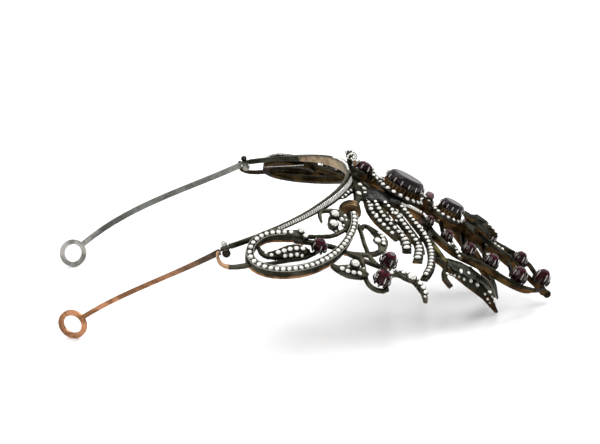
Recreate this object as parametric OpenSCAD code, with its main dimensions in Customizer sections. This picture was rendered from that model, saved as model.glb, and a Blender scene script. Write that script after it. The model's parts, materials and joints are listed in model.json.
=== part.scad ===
// Diadem of blackened silver and worn gilt, set with diamonds and garnets.
// It is drawn as worn, with the band level, +X to the front and the crest rising in +Z,
// and lay() then turns it over onto its two eyelets and its crest tip, as it rests on a table.
// A place on the flaring front is a turn round the band, a rise above it and a lift off the face.

/* [Stance on the table] */
// Slope of the band's plane, front end high, in degrees
lie_slope = 13.6; // [12:0.1:15]
// Roll to one side as it lies, in degrees
lie_roll = 1.5; // [0.5:0.1:2.5]
// Height of the middle of the band's front above the table
front_height = 53.6; // [50:0.1:57]

/* [Band] */
// Radius of the band's curve
band_radius = 73; // [65:0.5:80]
// Turn from the front to each temple, in degrees
temple_turn = 69; // [64:0.5:74]
// Height of the band's bar at the front
band_tall = 4.2; // [3:0.1:5]
// Thickness of the band's bar
band_thick = 2.2; // [1.6:0.1:3]

/* [Arms] */
// Height of the flat arm strip at the temple
arm_tall = 2.5; // [2:0.1:3.4]
// Thickness of the flat arm strip
arm_thick = 0.9; // [0.7:0.05:1.4]
// Reach of the near arm along the table, from temple to eyelet
near_reach = 61.8; // [56:0.2:68]
// Reach of the far arm along the table, from temple to eyelet
far_reach = 75; // [68:0.2:80]
// How far the near eyelet stands in from its temple
near_toe_in = 9.6; // [4:0.2:14]
// How far the far eyelet stands in from its temple
far_toe_in = 15.6; // [8:0.2:20]
// Outward bow at the middle of the near arm
near_bow = 2.9; // [1:0.1:5]
// Outward bow at the middle of the far arm
far_bow = 5.8; // [3:0.1:8]
// Upward curve of the near arm
near_arch = 1.6; // [0.6:0.1:2.6]
// Upward curve of the far arm
far_arch = 2.7; // [1.4:0.1:4]
// Outer diameter of an eyelet
eyelet_outer = 12; // [10:0.1:14]
// Bore of an eyelet
eyelet_bore = 7.8; // [6:0.1:9]
// Thickness of an eyelet's ring
eyelet_thick = 1.2; // [1:0.1:1.6]

/* [Temple screws] */
// Diameter of a screw's shank
shank_d = 1.4; // [1:0.1:1.8]
// Diameter of the round knob
knob_d = 3.4; // [2.8:0.1:4]
// Diameter of the end bead
bead_d = 2.5; // [2:0.1:3]
// Diameter of a screw lug
lug_d = 3.8; // [3.4:0.1:4.4]
// Thickness of a screw lug
lug_thick = 0.6; // [0.5:0.05:0.9]

/* [Crest] */
// Rise of the crest's tip above the band
crest_rise = 64; // [58:0.5:68]
// Lean of the flaring front away from the upright, in degrees
flare = 48; // [46:0.2:50]
// Height of the raised work over the flaring face
relief = 4; // [3.4:0.1:4.6]

/* [Metalwork] */
// Width of the scroll's set channel
channel_wide = 3.2; // [2.8:0.1:3.8]
// Depth of the scroll's set channel
channel_deep = 4.2; // [3.4:0.1:5]
// Width of the branches and stems
stem_wide = 2.5; // [2:0.1:3]
// Depth of the branches and stems
stem_deep = 2.2; // [1.8:0.1:2.8]
// Width of the thin wires
wire_wide = 1.5; // [1.2:0.1:2]
// Width of a leaf or feather plate
plate_wide = 3.6; // [3:0.1:4.4]
// Thickness of a leaf or feather plate
plate_deep = 1.6; // [1.3:0.1:2.2]
// Width of the large hanging leaf
leaf_wide = 9.6; // [8:0.2:11]
// Extra drop of the far leaf, as a share
far_leaf_drop = 1.065; // [1:0.005:1.1]
// Diameter of a ribbed collar
collar_d = 8.8; // [8:0.1:9.6]
// Length of a ribbed collar
collar_long = 4.2; // [3.4:0.1:5]

/* [Stones] */
// Diameter of a stone in the side scrolls
scroll_stone = 2.2; // [1.7:0.05:2.3]
// Pitch of the stones in the side scrolls
scroll_pitch = 2.45; // [2.2:0.05:2.9]
// Diameter of a stone in the feathers
feather_stone = 2.0; // [1.6:0.05:2.3]
// Diameter of the largest side diamonds
large_diamond = 3.8; // [3.2:0.1:4.2]
// Diameter of the largest garnet berry
berry_d = 6.4; // [5.6:0.1:7]
// Length of the large oval garnet
oval_long = 17; // [15:0.2:18]
// Width of the large oval garnet
oval_wide = 11; // [9:0.2:12]
// Length of the second oval garnet
second_long = 10.6; // [9:0.2:11.4]
// Width of the second oval garnet
second_wide = 8; // [7:0.2:9]
// Length of the oblong garnet
oblong_long = 7.6; // [6.6:0.2:8.2]
// Width of the oblong garnet
oblong_wide = 5.4; // [4.6:0.2:6]
// Height of the large oval garnet
oval_high = 4.2; // [3.6:0.1:5]
// Height of the second oval and the oblong garnet
second_high = 3.4; // [2.8:0.1:4]
// Clearance between a stone and its seat, and between pieces that meet
clearance = 0.12; // [0.1:0.01:0.2]

/* [Hidden] */
$fn = 24;

// Places on the front
function band_place(turn) = [band_radius * (cos(turn) - 1), band_radius * sin(turn), 0];
function outward(turn) = [cos(turn), sin(turn), 0];
function face(turn) = [cos(turn) * cos(flare), sin(turn) * cos(flare), -sin(flare)];
function place(row) = band_place(row[0]) + row[1] * crest_rise * ([0, 0, 1] + tan(flare) * outward(row[0]))
    + row[2] * relief * face(row[0]);
function unit(v) = v / norm(v);

// Middle of the whole outline on the table, so that the origin lies under it
pin_turn = temple_turn + (lug_d / 2 + 0.15) / band_radius * 180 / PI;
tip_place = place([0, 1.01, -1.1]);
far_end = -(band_radius * (1 - cos(pin_turn)) * cos(lie_slope) + far_reach + eyelet_outer * 0.48);
tip_end = tip_place.x * cos(lie_slope) + tip_place.z * sin(lie_slope) + knob_d * 0.53;
mid_x = (far_end + tip_end) / 2;
mid_y = band_radius / 4 * sin(lie_roll);

// A smooth run of rows through a route's few rows
function between(a, b, c, d, t) = 0.5 * ((2 * b) + (c - a) * t + (2 * a - 5 * b + 4 * c - d) * t * t
    + (3 * b - a - 3 * c + d) * t * t * t);
function smooth(route, steps) = let (n = len(route)) [
    for (i = [0 : n - 2], j = [0 : steps - 1])
        between(route[max(i - 1, 0)], route[i], route[i + 1], route[min(i + 2, n - 1)], j / steps),
    route[n - 1]];

// Frames along the run: place, sideways, upward and width share. A fifth number in a row rolls
// the frame about the run, in degrees, toward its sideways edge
function frames(rows) = let (n = len(rows)) [for (i = [0 : n - 1])
    let (t = unit(place(rows[min(i + 1, n - 1)]) - place(rows[max(i - 1, 0)])),
         s = unit(cross(t, face(rows[i][0]))), u = cross(s, t), r = len(rows[i]) > 4 ? rows[i][4] : 0)
    [place(rows[i]), cos(r) * s - sin(r) * u, cos(r) * u + sin(r) * s, rows[i][3]]];

// A bar swept along frames; section holds shares of the width and the depth
module bar(fr, section, wide, deep, grow = 0) {
    n = len(fr);
    k = len(section);
    ring = [for (f = fr, c = section) f[0] + c[0] * (wide * f[3] + 2 * grow) * f[1]
        + (c[1] * (deep + 2 * grow) + grow) * f[2]];
    sides = [for (i = [0 : n - 2], j = [0 : k - 1])
        [i * k + j, i * k + (j + 1) % k, (i + 1) * k + (j + 1) % k, (i + 1) * k + j]];
    polyhedron(ring, concat([[for (j = [k - 1 : -1 : 0]) j]],
        [for (q = sides) [q[0], q[1], q[2]]], [for (q = sides) [q[0], q[2], q[3]]],
        [[for (j = [0 : k - 1]) (n - 1) * k + j]]), convexity = 8);
}

flat_section = [[-0.5, 0], [-0.5, -1], [0.5, -1], [0.5, 0]];
round_section = [[-0.3, 0], [-0.5, -0.55], [0, -1], [0.5, -0.55], [0.3, 0]];
ridge_section = [[-0.4, 0], [-0.5, -1], [0.5, -1], [0.4, 0]];
fold_section = [[0, 0.35], [-0.5, -0.5], [-0.42, -1.1], [0, -0.55], [0.42, -1.1], [0.5, -0.5]];

// Routes: turn in degrees, rise as a share of the crest's, lift as a share of the relief, width share
scroll_route = [[25.6, 0.105, 0.5, 0.8], [29.5, 0.150, 0.5, 0.9], [36, 0.196, 0.5, 1],
    [44.5, 0.234, 0.5, 1], [53, 0.236, 0.5, 1], [60, 0.200, 0.5, 1], [64.4, 0.145, 0.5, 1],
    [65.4, 0.085, 0.5, 1], [62.4, 0.032, 0.5, 1], [57, 0.016, 0.5, 1], [51.6, 0.045, 0.5, 1],
    [47.4, 0.076, 0.5, 1.1]];
branch_route = [[50, 0.080, 0.1, 1.2], [45.6, 0.127, 0.1, 1.1], [41.2, 0.194, 0.1, 1],
    [38.5, 0.272, 0, 1], [36.2, 0.345, 0, 1], [34.4, 0.400, 0, 1]];
brace_route = [[46.4, 0.088, 0.2, 1], [39.4, 0.138, 0.1, 1], [35, 0.146, 0.1, 1], [30.8, 0.150, 0.2, 1]];
drop_route = [[27.4, 0.160, 0.1, 1], [29.4, 0.200, 0, 0.9], [32.4, 0.250, 0, 1], [35, 0.313, 0, 1],
    [35.6, 0.360, 0, 1.1]];
hook_route = [[28.2, 0.190, 0.2, 1], [26.4, 0.180, 0.1, 1], [24.9, 0.195, 0, 1.1], [25.2, 0.232, 0, 2.2],
    [26.4, 0.268, 0.2, 3.4], [28.6, 0.300, 0.3, 3], [31.6, 0.322, 0.3, 1.6], [34.6, 0.300, 0, 1.3],
    [38, 0.262, 0, 1.2], [40, 0.235, 0, 1.2]];
low_leaf_route = [[46.6, 0.262, 0.2, 0.5], [46.2, 0.300, 0.4, 1.0], [45, 0.338, 0.4, 1.15],
    [43.4, 0.364, 0.4, 1.1], [41, 0.385, 0.1, 0.6]];
low_leaf_top_route = [[46.4, 0.275, 0.1, 0.4], [43.6, 0.318, 0.4, 1.05], [41.4, 0.346, 0.3, 0.8],
    [40.6, 0.385, 0.1, 0.5]];
under_route = [[37.4, 0.285, 0, 1], [38.8, 0.330, 0, 1], [41, 0.375, 0, 1], [42.2, 0.420, 0, 1.1],
    [41.6, 0.460, 0, 1.2], [39.6, 0.478, 0, 1.2], [38.6, 0.440, 0.2, 1]];
chain_route = [[39.4, 0.446, 0, 0.8], [36.6, 0.430, 0.3, 0.8], [34.6, 0.450, 0.5, 0.9],
    [33.6, 0.485, 0.5, 1.2], [32.9, 0.520, 0.5, 1], [33.4, 0.558, 0.5, 0.95], [34.2, 0.592, 0.5, 0.75],
    [35.7, 0.626, 0.4, 0.45]];
loop_wire_route = [[65.4, 0.115, 0.1, 1.4], [68.4, 0.104, 0, 1.3], [71.6, 0.090, 0, 1.1],
    [73.6, 0.066, 0.1, 1], [73.9, 0.036, 0.35, 0.9], [73.2, 0.018, 0.55, 0.9]];
inner_bar_route = [[64.2, 0.128, 0.1, 0.9], [59.4, 0.143, 0, 0.8], [55.3, 0.158, 0, 0.8],
    [50.6, 0.176, 0, 0.9], [45.4, 0.172, 0, 1]];
inner_leaf_route = [[61.2, 0.050, 0.2, 0.4], [61.6, 0.082, 0.4, 0.6], [60.4, 0.107, 0.4, 0.9],
    [57.4, 0.119, 0.4, 1.3], [54, 0.126, 0.4, 1.75], [51.2, 0.142, 0.4, 1.7], [48.6, 0.165, 0.1, 0.7]];
thorn_route = [[34.2, 0.018, 0.3, 1.3], [36.2, 0.036, 0.3, 0.9], [37.6, 0.068, 0.2, 0.3]];
spur_route = [[35, 0.014, 0.3, 1], [31.4, 0.036, 0.3, 1], [28.9, 0.062, 0.3, 1], [29.5, 0.100, 0.3, 2.4],
    [31.4, 0.130, 0.2, 1.6], [32.4, 0.148, 0.1, 1]];
cluster_route = [[30.2, 0.086, 0.3, 0.5], [32.6, 0.076, 0.4, 1.1], [34.8, 0.090, 0.4, 1],
    [36.4, 0.112, 0.4, 1.15], [35.4, 0.136, 0.2, 0.6]];

// Feathers of the spray, from the root outward
feather_a = [[8, 0.060, 0.4, 0.6, 10], [14.2, 0.108, 0.5, 1.1, 15], [19.2, 0.152, 0.5, 1.2, 20],
    [21.8, 0.206, 0.5, 1.2, 20], [22.9, 0.262, 0.5, 1.1, 20], [24, 0.330, 0.4, 0.6, 15]];
feather_b = [[4, 0.045, 0.4, 0.6, 10], [11.4, 0.121, 0.5, 1, 15], [17, 0.186, 0.5, 1.15, 20],
    [19.6, 0.241, 0.5, 1.15, 20], [20.8, 0.290, 0.5, 1.15, 20], [22, 0.336, 0.5, 1.15, 25],
    [24, 0.372, 0.5, 1.35, 25], [26, 0.394, 0.4, 1.35, 25]];
feather_c = [[5, 0.100, 0.5, 0.6, 10], [10.6, 0.185, 0.5, 1, 15], [13, 0.242, 0.5, 1.15, 20],
    [16, 0.300, 0.5, 1.2, 20], [18.4, 0.350, 0.5, 1.15, 20], [20.4, 0.396, 0.5, 1.1, 25],
    [23, 0.430, 0.5, 1.2, 25], [26.8, 0.456, 0.4, 1.45, 25]];
feather_d = [[1, 0.150, 0.8, 0.6, 10], [5.8, 0.244, 0.5, 0.9, 15], [8.8, 0.291, 0.5, 1, 20],
    [12, 0.342, 0.5, 1.1, 20], [15, 0.400, 0.5, 1.15, 20], [18.4, 0.447, 0.5, 1.15, 25],
    [22.4, 0.487, 0.5, 1.2, 25], [26.8, 0.520, 0.5, 1.25, 25], [30.6, 0.534, 0.4, 1.1, 25]];
petal_route = [[4, 0.045, 0.4, 0.8], [7, 0.120, 0.5, 1.35], [6.4, 0.170, 0.5, 1.4], [6.2, 0.216, 0.5, 1],
    [6, 0.240, 0.4, 0.5]];
root_route = [[0, 0.020, 0.5, 1.6], [4, 0.032, 0.4, 1.6], [9, 0.050, 0.3, 1.6], [15, 0.075, 0.3, 1.2],
    [20, 0.085, 0.2, 1]];
web_route = [[22, 0.250, 0.2, 1], [17.6, 0.262, 0.1, 1.2], [12.5, 0.262, 0.1, 1.2],
    [7, 0.262, 0.2, 1], [0, 0.275, 0.8, 1]];
tie_route = [[22.6, 0.345, 0, 0.8], [18.6, 0.375, 0, 0.9], [14.6, 0.402, 0, 1], [11.4, 0.420, 0, 0.9]];

// Stems of the crest, with the middle rail on the centre line
rail_route = [[0, -0.010, 0.5, 1.5], [0, 0.080, 0.9, 1.3], [0, 0.200, 1.0, 1.2], [0, 0.340, 1.1, 1],
    [0, 0.500, 1.15, 1], [0, 0.650, 1.1, 0.95], [0, 0.780, 0.7, 0.85], [0, 0.900, -0.2, 0.75],
    [0, 0.960, -0.6, 0.9], [0, 1.000, -1, 0.8]];
near_stem_route = [[0, 0.345, 0.4, 0.9], [5.8, 0.375, 0.5, 1], [10.4, 0.428, 0.6, 1.1],
    [12.2, 0.492, 0.55, 1.1], [12.7, 0.558, 0.45, 1], [11.4, 0.636, 0.4, 1], [10.7, 0.706, 0.4, 1],
    [11, 0.768, 0.35, 1], [10.4, 0.850, 0.3, 1], [7.6, 0.925, 0.1, 1], [0, 0.985, -0.6, 0.9]];
olive_route = [[8.6, 0.404, 0.5, 1], [11.6, 0.415, 0.3, 1], [14.6, 0.440, 0.1, 1], [17, 0.485, 0, 1],
    [18.6, 0.530, 0, 1], [19, 0.575, -0.2, 1]];
strut_routes = [
    [[0, 0.440, 0.6, 1], [6, 0.470, 0.2, 0.8], [12, 0.495, 0.2, 1]],
    [[0, 0.550, 0.6, 1], [6, 0.572, 0.1, 0.8], [12.2, 0.605, 0.1, 1]],
    [[0, 0.650, 0.6, 1], [6, 0.680, 0, 0.8], [10.9, 0.715, 0.1, 1]],
    [[0, 0.785, 0.3, 1], [5.6, 0.815, 0, 0.8], [10.6, 0.840, 0.1, 1]]];
perch_route = [[0, 0.822, 0.1, 1], [3.6, 0.846, -0.25, 1]];
leaf_route = [[20, 0.500, 0.1, 0.25, 10], [18.4, 0.545, -0.1, 0.6, 30], [15.8, 0.600, -0.6, 0.85, 40],
    [12.8, 0.665, -1.3, 1, 45], [11, 0.715, -1.9, 0.9, 45], [9.8, 0.765, -2.6, 0.62, 45],
    [9.1, 0.805, -3.3, 0.4, 45], [8.7, 0.841, -3.96, 0.12, 45]];
far_leaf_route = [for (r = leaf_route) [r[0], r[1], r[2] * (r[2] < 0 ? far_leaf_drop : 1), r[3], r[4]]];
leaf_curl_route = [[17.6, 0.560, -0.4, 1], [20.2, 0.560, -0.5, 1.2], [22, 0.585, -0.7, 1.3],
    [22.4, 0.625, -0.9, 1.3]];
flower_routes = [
    [[0, 0.572, 1.9, 0.6], [4.4, 0.548, 2.2, 1.9], [6, 0.585, 1.9, 0.6]],
    [[0, 0.520, 2.2, 0.8], [0, 0.570, 2.7, 2.2], [0, 0.615, 2.7, 0.8]],
    [[0, 0.580, 2.2, 0.8], [3.4, 0.605, 2.5, 2.1], [4.6, 0.655, 2.1, 0.7]],
    [[0, 0.580, 2.4, 0.8], [0, 0.640, 2.5, 2.3], [0, 0.695, 1.9, 0.7]]];
curl_route = [[0, 0.030, 1.1, 1], [0, -0.008, 1.25, 1], [0, -0.030, 1.9, 1.1], [0, -0.044, 2.25, 1],
    [0, -0.060, 2.0, 0.8]];

// Berries: turn, rise share, lift share, diameter share
berries = [[8.2, 0.385, 0.66, 0.58], [9, 0.484, 0.33, 0.66], [9.6, 0.593, 0.25, 0.8],
    [8.7, 0.703, 0.12, 0.9], [8.2, 0.835, 0.15, 1]];
far_berries = [[8.2, 0.385, 0.66, 0.58], [9, 0.484, 0.33, 0.66], [9.2, 0.593, 0.25, 0.8],
    [8, 0.703, 0.12, 0.9],
    [3.6, 0.846, -0.1, 0.95]];
tip_berry = [0, 0.955, -0.25, 1];
side_berries = [[46.3, 0.171, 0.25, 0.86], [34.2, 0.388, 0.35, 0.98], [39.7, 0.440, 0.25, 0.96]];

// Shapes set on the face: the child's Z is the face's outward direction there, X points up the crest
module set_at(row) {
    w = face(row[0]);
    v = [-sin(row[0]), cos(row[0]), 0];
    u = cross(v, w);
    p = place(row);
    multmatrix([[u.x, v.x, w.x, p.x], [u.y, v.y, w.y, p.y], [u.z, v.z, w.z, p.z], [0, 0, 0, 1]]) children();
}

// A row of stones at an even pitch along a route
function run(rows) = let (p = [for (r = rows) place(r)])
    [for (i = 0, s = 0; i < len(p); s = s + (i + 1 < len(p) ? norm(p[i + 1] - p[i]) : 0), i = i + 1) s];
function row_at(rows, s, a) = [for (c = [0 : len(rows[0]) - 1])
    lookup(a, [for (i = [0 : len(rows) - 1]) [s[i], rows[i][c]]])];
function spaced(route, pitch, start, stop, steps = 2) = let (rows = smooth(route, steps), s = run(rows),
    total = s[len(rows) - 1], first = start * total, count = floor((stop - start) * total / pitch))
    [for (k = [0 : count]) let (a = first + k * pitch)
        frames([for (b = [a - 0.4, a, a + 0.4]) row_at(rows, s, b)])[1]];
module stone(d) {
    cylinder(h = 0.24 * d, d = d, $fn = 8);
    rotate(22.5) cylinder(h = 0.42 * d, d = 0.72 * d, $fn = 8);
}
module seat(f) {
    t = cross(f[2], f[1]);
    y = -f[1];
    z = f[2];
    multmatrix([[t.x, y.x, z.x, f[0].x], [t.y, y.y, z.y, f[0].y], [t.z, y.z, z.z, f[0].z], [0, 0, 0, 1]])
        translate([0, 0, clearance]) children();
}
module stone_row(route, pitch, d, start, stop, steps = 2)
    for (f = spaced(route, pitch, start, stop, steps)) seat(f) stone(d);

// An oval stack: rows hold a share of the half sizes and a height share
module oval(long, wide, high, levels, sides) {
    k = sides;
    n = len(levels);
    ring = [for (l = levels, j = [0 : k - 1])
        [l[0] * long / 2 * cos(j * 360 / k), l[0] * wide / 2 * sin(j * 360 / k), l[1] * high]];
    sides_of = [for (i = [0 : n - 2], j = [0 : k - 1])
        [i * k + j, i * k + (j + 1) % k, (i + 1) * k + (j + 1) % k, (i + 1) * k + j]];
    polyhedron(ring, concat([[for (j = [k - 1 : -1 : 0]) j]],
        [for (q = sides_of) [q[0], q[1], q[2]]], [for (q = sides_of) [q[0], q[2], q[3]]],
        [[for (j = [0 : k - 1]) (n - 1) * k + j]]));
}
cut_levels = [[0.82, 0], [1, 0.22], [0.86, 0.66], [0.5, 1]];
slab_levels = [[0.92, 0], [1, 0.25], [0.97, 0.62], [0.72, 1]];
berry_levels = [[0.55, 0], [1, 0.4], [0.92, 0.62], [0.5, 1]];

module lay() translate([-mid_x, -mid_y, front_height]) rotate([lie_roll, 0, 0])
    rotate([0, -lie_slope, 0]) rotate([180, 0, 0]) children();
module other_side() mirror([0, 1, 0]) children();

module rod(route, section, wide, deep, grow = 0, steps = 3)
    bar(frames(smooth(route, steps)), section, wide, deep, grow);

// Band: the bar that the whole front stands on
band_rows = [[-1, 0.5], [-0.82, 0.52], [-0.6, 0.62], [-0.42, 0.88], [-0.2, 1], [0, 1], [0.2, 1],
    [0.42, 0.88],
    [0.6, 0.62], [0.82, 0.52], [1, 0.5]];
module band_bar(grow = 0) {
    rows = smooth(band_rows, 3);
    fr = [for (r = rows) let (a = r[0] * temple_turn)
        [band_place(a), [0, 0, 1], outward(a), r[1]]];
    bar([for (f = fr) [f[0] - grow * f[2], f[1], f[2], f[3]]],
        [[-0.5, -0.5], [-0.5, 0.3], [-0.2, 0.5], [0.2, 0.5], [0.5, 0.3], [0.5, -0.5]],
        band_tall, band_thick, grow);
}
module at_temple(side) translate(band_place(side * pin_turn)) rotate([0, 0, side * pin_turn]) children();

// A lug round the screw; its tongue runs along the band, ahead of the screw or behind it
module lug(side, way) {
    reach = lug_d / 2 + 1.6;
    difference() {
        union() {
            cylinder(d = lug_d, h = lug_thick);
            translate([-lug_d / 4, side * way > 0 ? 0 : -reach, 0]) cube([lug_d / 2, reach, lug_thick]);
        }
        translate([0, 0, -1]) cylinder(d = shank_d + 2 * clearance, h = lug_thick + 2);
    }
}
module band() color("dimgray") lay() {
    band_bar();
    for (side = [-1, 1]) at_temple(side) translate([0, 0, -lug_thick - clearance / 2]) lug(side, -1);
}
module temple_screw(side) color("silver") lay() at_temple(side) {
    stack = lug_thick + 1.5 * clearance;
    translate([0, 0, -stack - bead_d * 0.4]) sphere(d = bead_d);
    translate([0, 0, -stack - bead_d * 0.4]) cylinder(d = shank_d,
        h = 2 * stack + bead_d * 0.4 + knob_d / 2);
    translate([0, 0, stack + knob_d * 0.42]) sphere(d = knob_d);
}
module temple_screw_near() temple_screw(1);
module temple_screw_far() temple_screw(-1);

// Arms: a flat strip bowed outward and arched a little, with an eyelet that stands on the table
function lay_point(p) = let (x = p.x * cos(lie_slope) + p.z * sin(lie_slope), y = -p.y,
    z = p.x * sin(lie_slope) - p.z * cos(lie_slope))
    [x - mid_x, y * cos(lie_roll) - z * sin(lie_roll) - mid_y,
        y * sin(lie_roll) + z * cos(lie_roll) + front_height];
module arm(side, reach, toe_in, bow, arch, slim) {
    pin = lay_point(band_place(side * pin_turn) + [0, 0, lug_thick / 2]);
    eye = [pin.x - reach, pin.y + side * toe_in, eyelet_outer / 2];
    long = norm(eye - pin);
    u = unit(eye - pin);
    v = unit([0, -side, 0] + (u.y * side) * u);
    w = cross(u, v);
    in_plane = [[u.x, v.x, w.x, pin.x], [u.y, v.y, w.y, pin.y], [u.z, v.z, w.z, pin.z], [0, 0, 0, 1]];
    start = lug_d / 2 + 0.5;
    stop = long - eyelet_outer / 2 + 0.5;
    n = 14;
    runs = [for (i = [0 : n]) start + (stop - start) * i / n];
    curve = [for (a = runs) let (t = a / long) [a, 4 * bow * t * (1 - t)]];
    height = [for (a = runs) let (t = a / long)
        [a, side * 4 * arch * t * (1 - t) * (1 + 2 * (t - 0.5)),
            arm_tall / 2 * (1 - (1 - slim) * min(1, 3 * t))]];
    slant = atan(4 * bow / long);
    blank = 4 * (bow + arch);
    difference() {
        union() {
            multmatrix(in_plane) intersection() {
                translate([0, 0, -blank / 2]) linear_extrude(blank) polygon(concat(
                    [for (p = curve) p + [0, arm_thick / 2]],
                    [for (i = [n : -1 : 0]) curve[i] - [0, arm_thick / 2]]));
                translate([0, blank / 2, 0]) rotate([90, 0, 0]) linear_extrude(blank) polygon(concat(
                    [for (p = height) [p[0], p[1] + p[2]]],
                    [for (i = [n : -1 : 0]) [height[i][0], height[i][1] - height[i][2]]]));
            }
            multmatrix(in_plane) translate([long, 0, 0]) rotate([0, 0, -slant]) rotate([90, 0, 0])
                translate([0, 0, -eyelet_thick / 2]) cylinder(d = eyelet_outer, h = eyelet_thick, $fn = 48);
            lay() at_temple(side) translate([0, 0, clearance / 2]) lug(side, 1);
        }
        multmatrix(in_plane) translate([long, 0, 0]) rotate([0, 0, -slant]) rotate([90, 0, 0])
            translate([0, 0, -eyelet_thick]) cylinder(d = eyelet_bore, h = 2 * eyelet_thick, $fn = 48);
    }
}
module arm_near() color("sienna") arm(1, near_reach, near_toe_in, near_bow, near_arch, 0.74);
module arm_far() color("gray") arm(-1, far_reach, far_toe_in, far_bow, far_arch, 0.98);

// Ribbed collar round the end of a side scroll
collar_row = scroll_route[0];
module collar_body(grow = 0) {
    p = place(collar_row);
    t = unit(place(scroll_route[1]) - p);
    c = p - collar_row[2] * relief * face(collar_row[0]);
    translate(c) rotate([0, acos(t.z), atan2(t.y, t.x)]) translate([0, 0,
        -collar_long - clearance - grow]) {
        cylinder(d = collar_d * 0.92 + 2 * grow, h = collar_long + 2 * grow);
        for (i = [0 : 2]) translate([0, 0, collar_long * (0.08 + 0.3 * i)])
            cylinder(d = collar_d + 2 * grow, h = collar_long * 0.2 + 2 * grow);
    }
}
module collar_near() color("peru") lay() collar_body();
module collar_far() color("peru") lay() other_side() collar_body();

// A cup or collet: a hull from a small foot to the rim that carries a stone
module cup(row, d, foot) set_at(row) hull() {
    translate([0, 0, -foot]) cylinder(d = d * 0.5, h = 0.1, $fn = 8);
    translate([0, 0, -0.1]) cylinder(d = d, h = 0.1, $fn = 8);
}

side_stones_large = [[32.8, 0.074, 0.5, 1], [36.5, 0.110, 0.5, 1], [42.4, 0.322, 0.6, 0.98],
    [33.6, 0.505, 0.6, 1]];
module side_metal(grow = 0) {
    rod(scroll_route, flat_section, channel_wide, channel_deep, grow);
    rod(branch_route, round_section, stem_wide, stem_deep, grow, 2);
    for (r = [brace_route, drop_route, loop_wire_route, inner_bar_route, thorn_route])
        rod(r, flat_section, wire_wide, wire_wide, grow, 2);
    rod(hook_route, flat_section, wire_wide, plate_deep, grow, 2);
    for (r = [low_leaf_route, low_leaf_top_route, inner_leaf_route, cluster_route])
        rod(r, ridge_section, plate_wide, plate_deep, grow, 2);
    rod(spur_route, flat_section, wire_wide, plate_deep, grow, 2);
    rod(chain_route, ridge_section, plate_wide, plate_deep, grow, 2);
    rod(under_route, round_section, stem_wide * 0.8, stem_deep, grow, 2);
    set_at([47.3, 0.084, 0.5]) hull() for (h = [-channel_deep, -0.1])
        translate([-channel_wide * 0.75, -channel_wide * 0.45, h])
            cube([channel_wide * 1.5, channel_wide * 0.9, 0.1]);
    for (b = side_berries) cup(b, berry_d * b[3] * 0.86 + 2 * grow, relief * b[2] + 0.6);
    for (r = side_stones_large) cup(r, large_diamond * r[3] * 1.15 + 2 * grow, relief * 0.5);
}
module side_scroll() difference() {
    side_metal();
    band_bar(clearance);
    collar_body(clearance);
}
module side_scroll_near() color("slategray") lay() side_scroll();
module side_scroll_far() color("slategray") lay() other_side() side_scroll();

// Crest: rail, stems, struts, feathers, petals, leaves, cups and galleries
module crest_half(its_berries, its_leaf) {
    for (r = [feather_a, feather_b, feather_c, feather_d])
        rod(r, ridge_section, plate_wide * 0.85, plate_deep, 0, 2);
    rod(petal_route, ridge_section, plate_wide * 1.15, plate_deep, 0, 2);
    rod(root_route, flat_section, stem_wide, stem_deep, 0, 2);
    rod(web_route, flat_section, wire_wide, wire_wide, 0, 2);
    rod(tie_route, flat_section, wire_wide, wire_wide, 0, 2);
    rod(near_stem_route, round_section, stem_wide, stem_deep, 0, 2);
    rod(olive_route, flat_section, stem_wide, stem_deep, 0, 2);
    for (r = strut_routes) rod(r, flat_section, wire_wide * 1.2, wire_wide, 0, 2);
    rod(its_leaf, fold_section, leaf_wide, plate_deep, 0, 2);
    rod(leaf_curl_route, flat_section, wire_wide * 1.3, plate_deep, 0, 2);
    for (b = its_berries) cup(b, berry_d * b[3] * 0.86, relief * max(b[2], 0) + 1);
}
oval_row = [0, 0.224, 1.95];
second_row = [0, 0.455, 2.05];
oblong_row = [0, 0.038, 1.35];
front_diamond_row = [0, 0.108, 1.35];
end_garnet_row = [0, 0.346, 2.15];
module gallery(row, long, wide, foot) set_at(row) hull() {
    translate([0, 0, -foot]) scale([long * 0.86, wide * 0.86, 1]) cylinder(d = 1, h = 0.1, $fn = 12);
    translate([0, 0, -0.1]) scale([long, wide, 1]) cylinder(d = 1, h = 0.1, $fn = 12);
}
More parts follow.
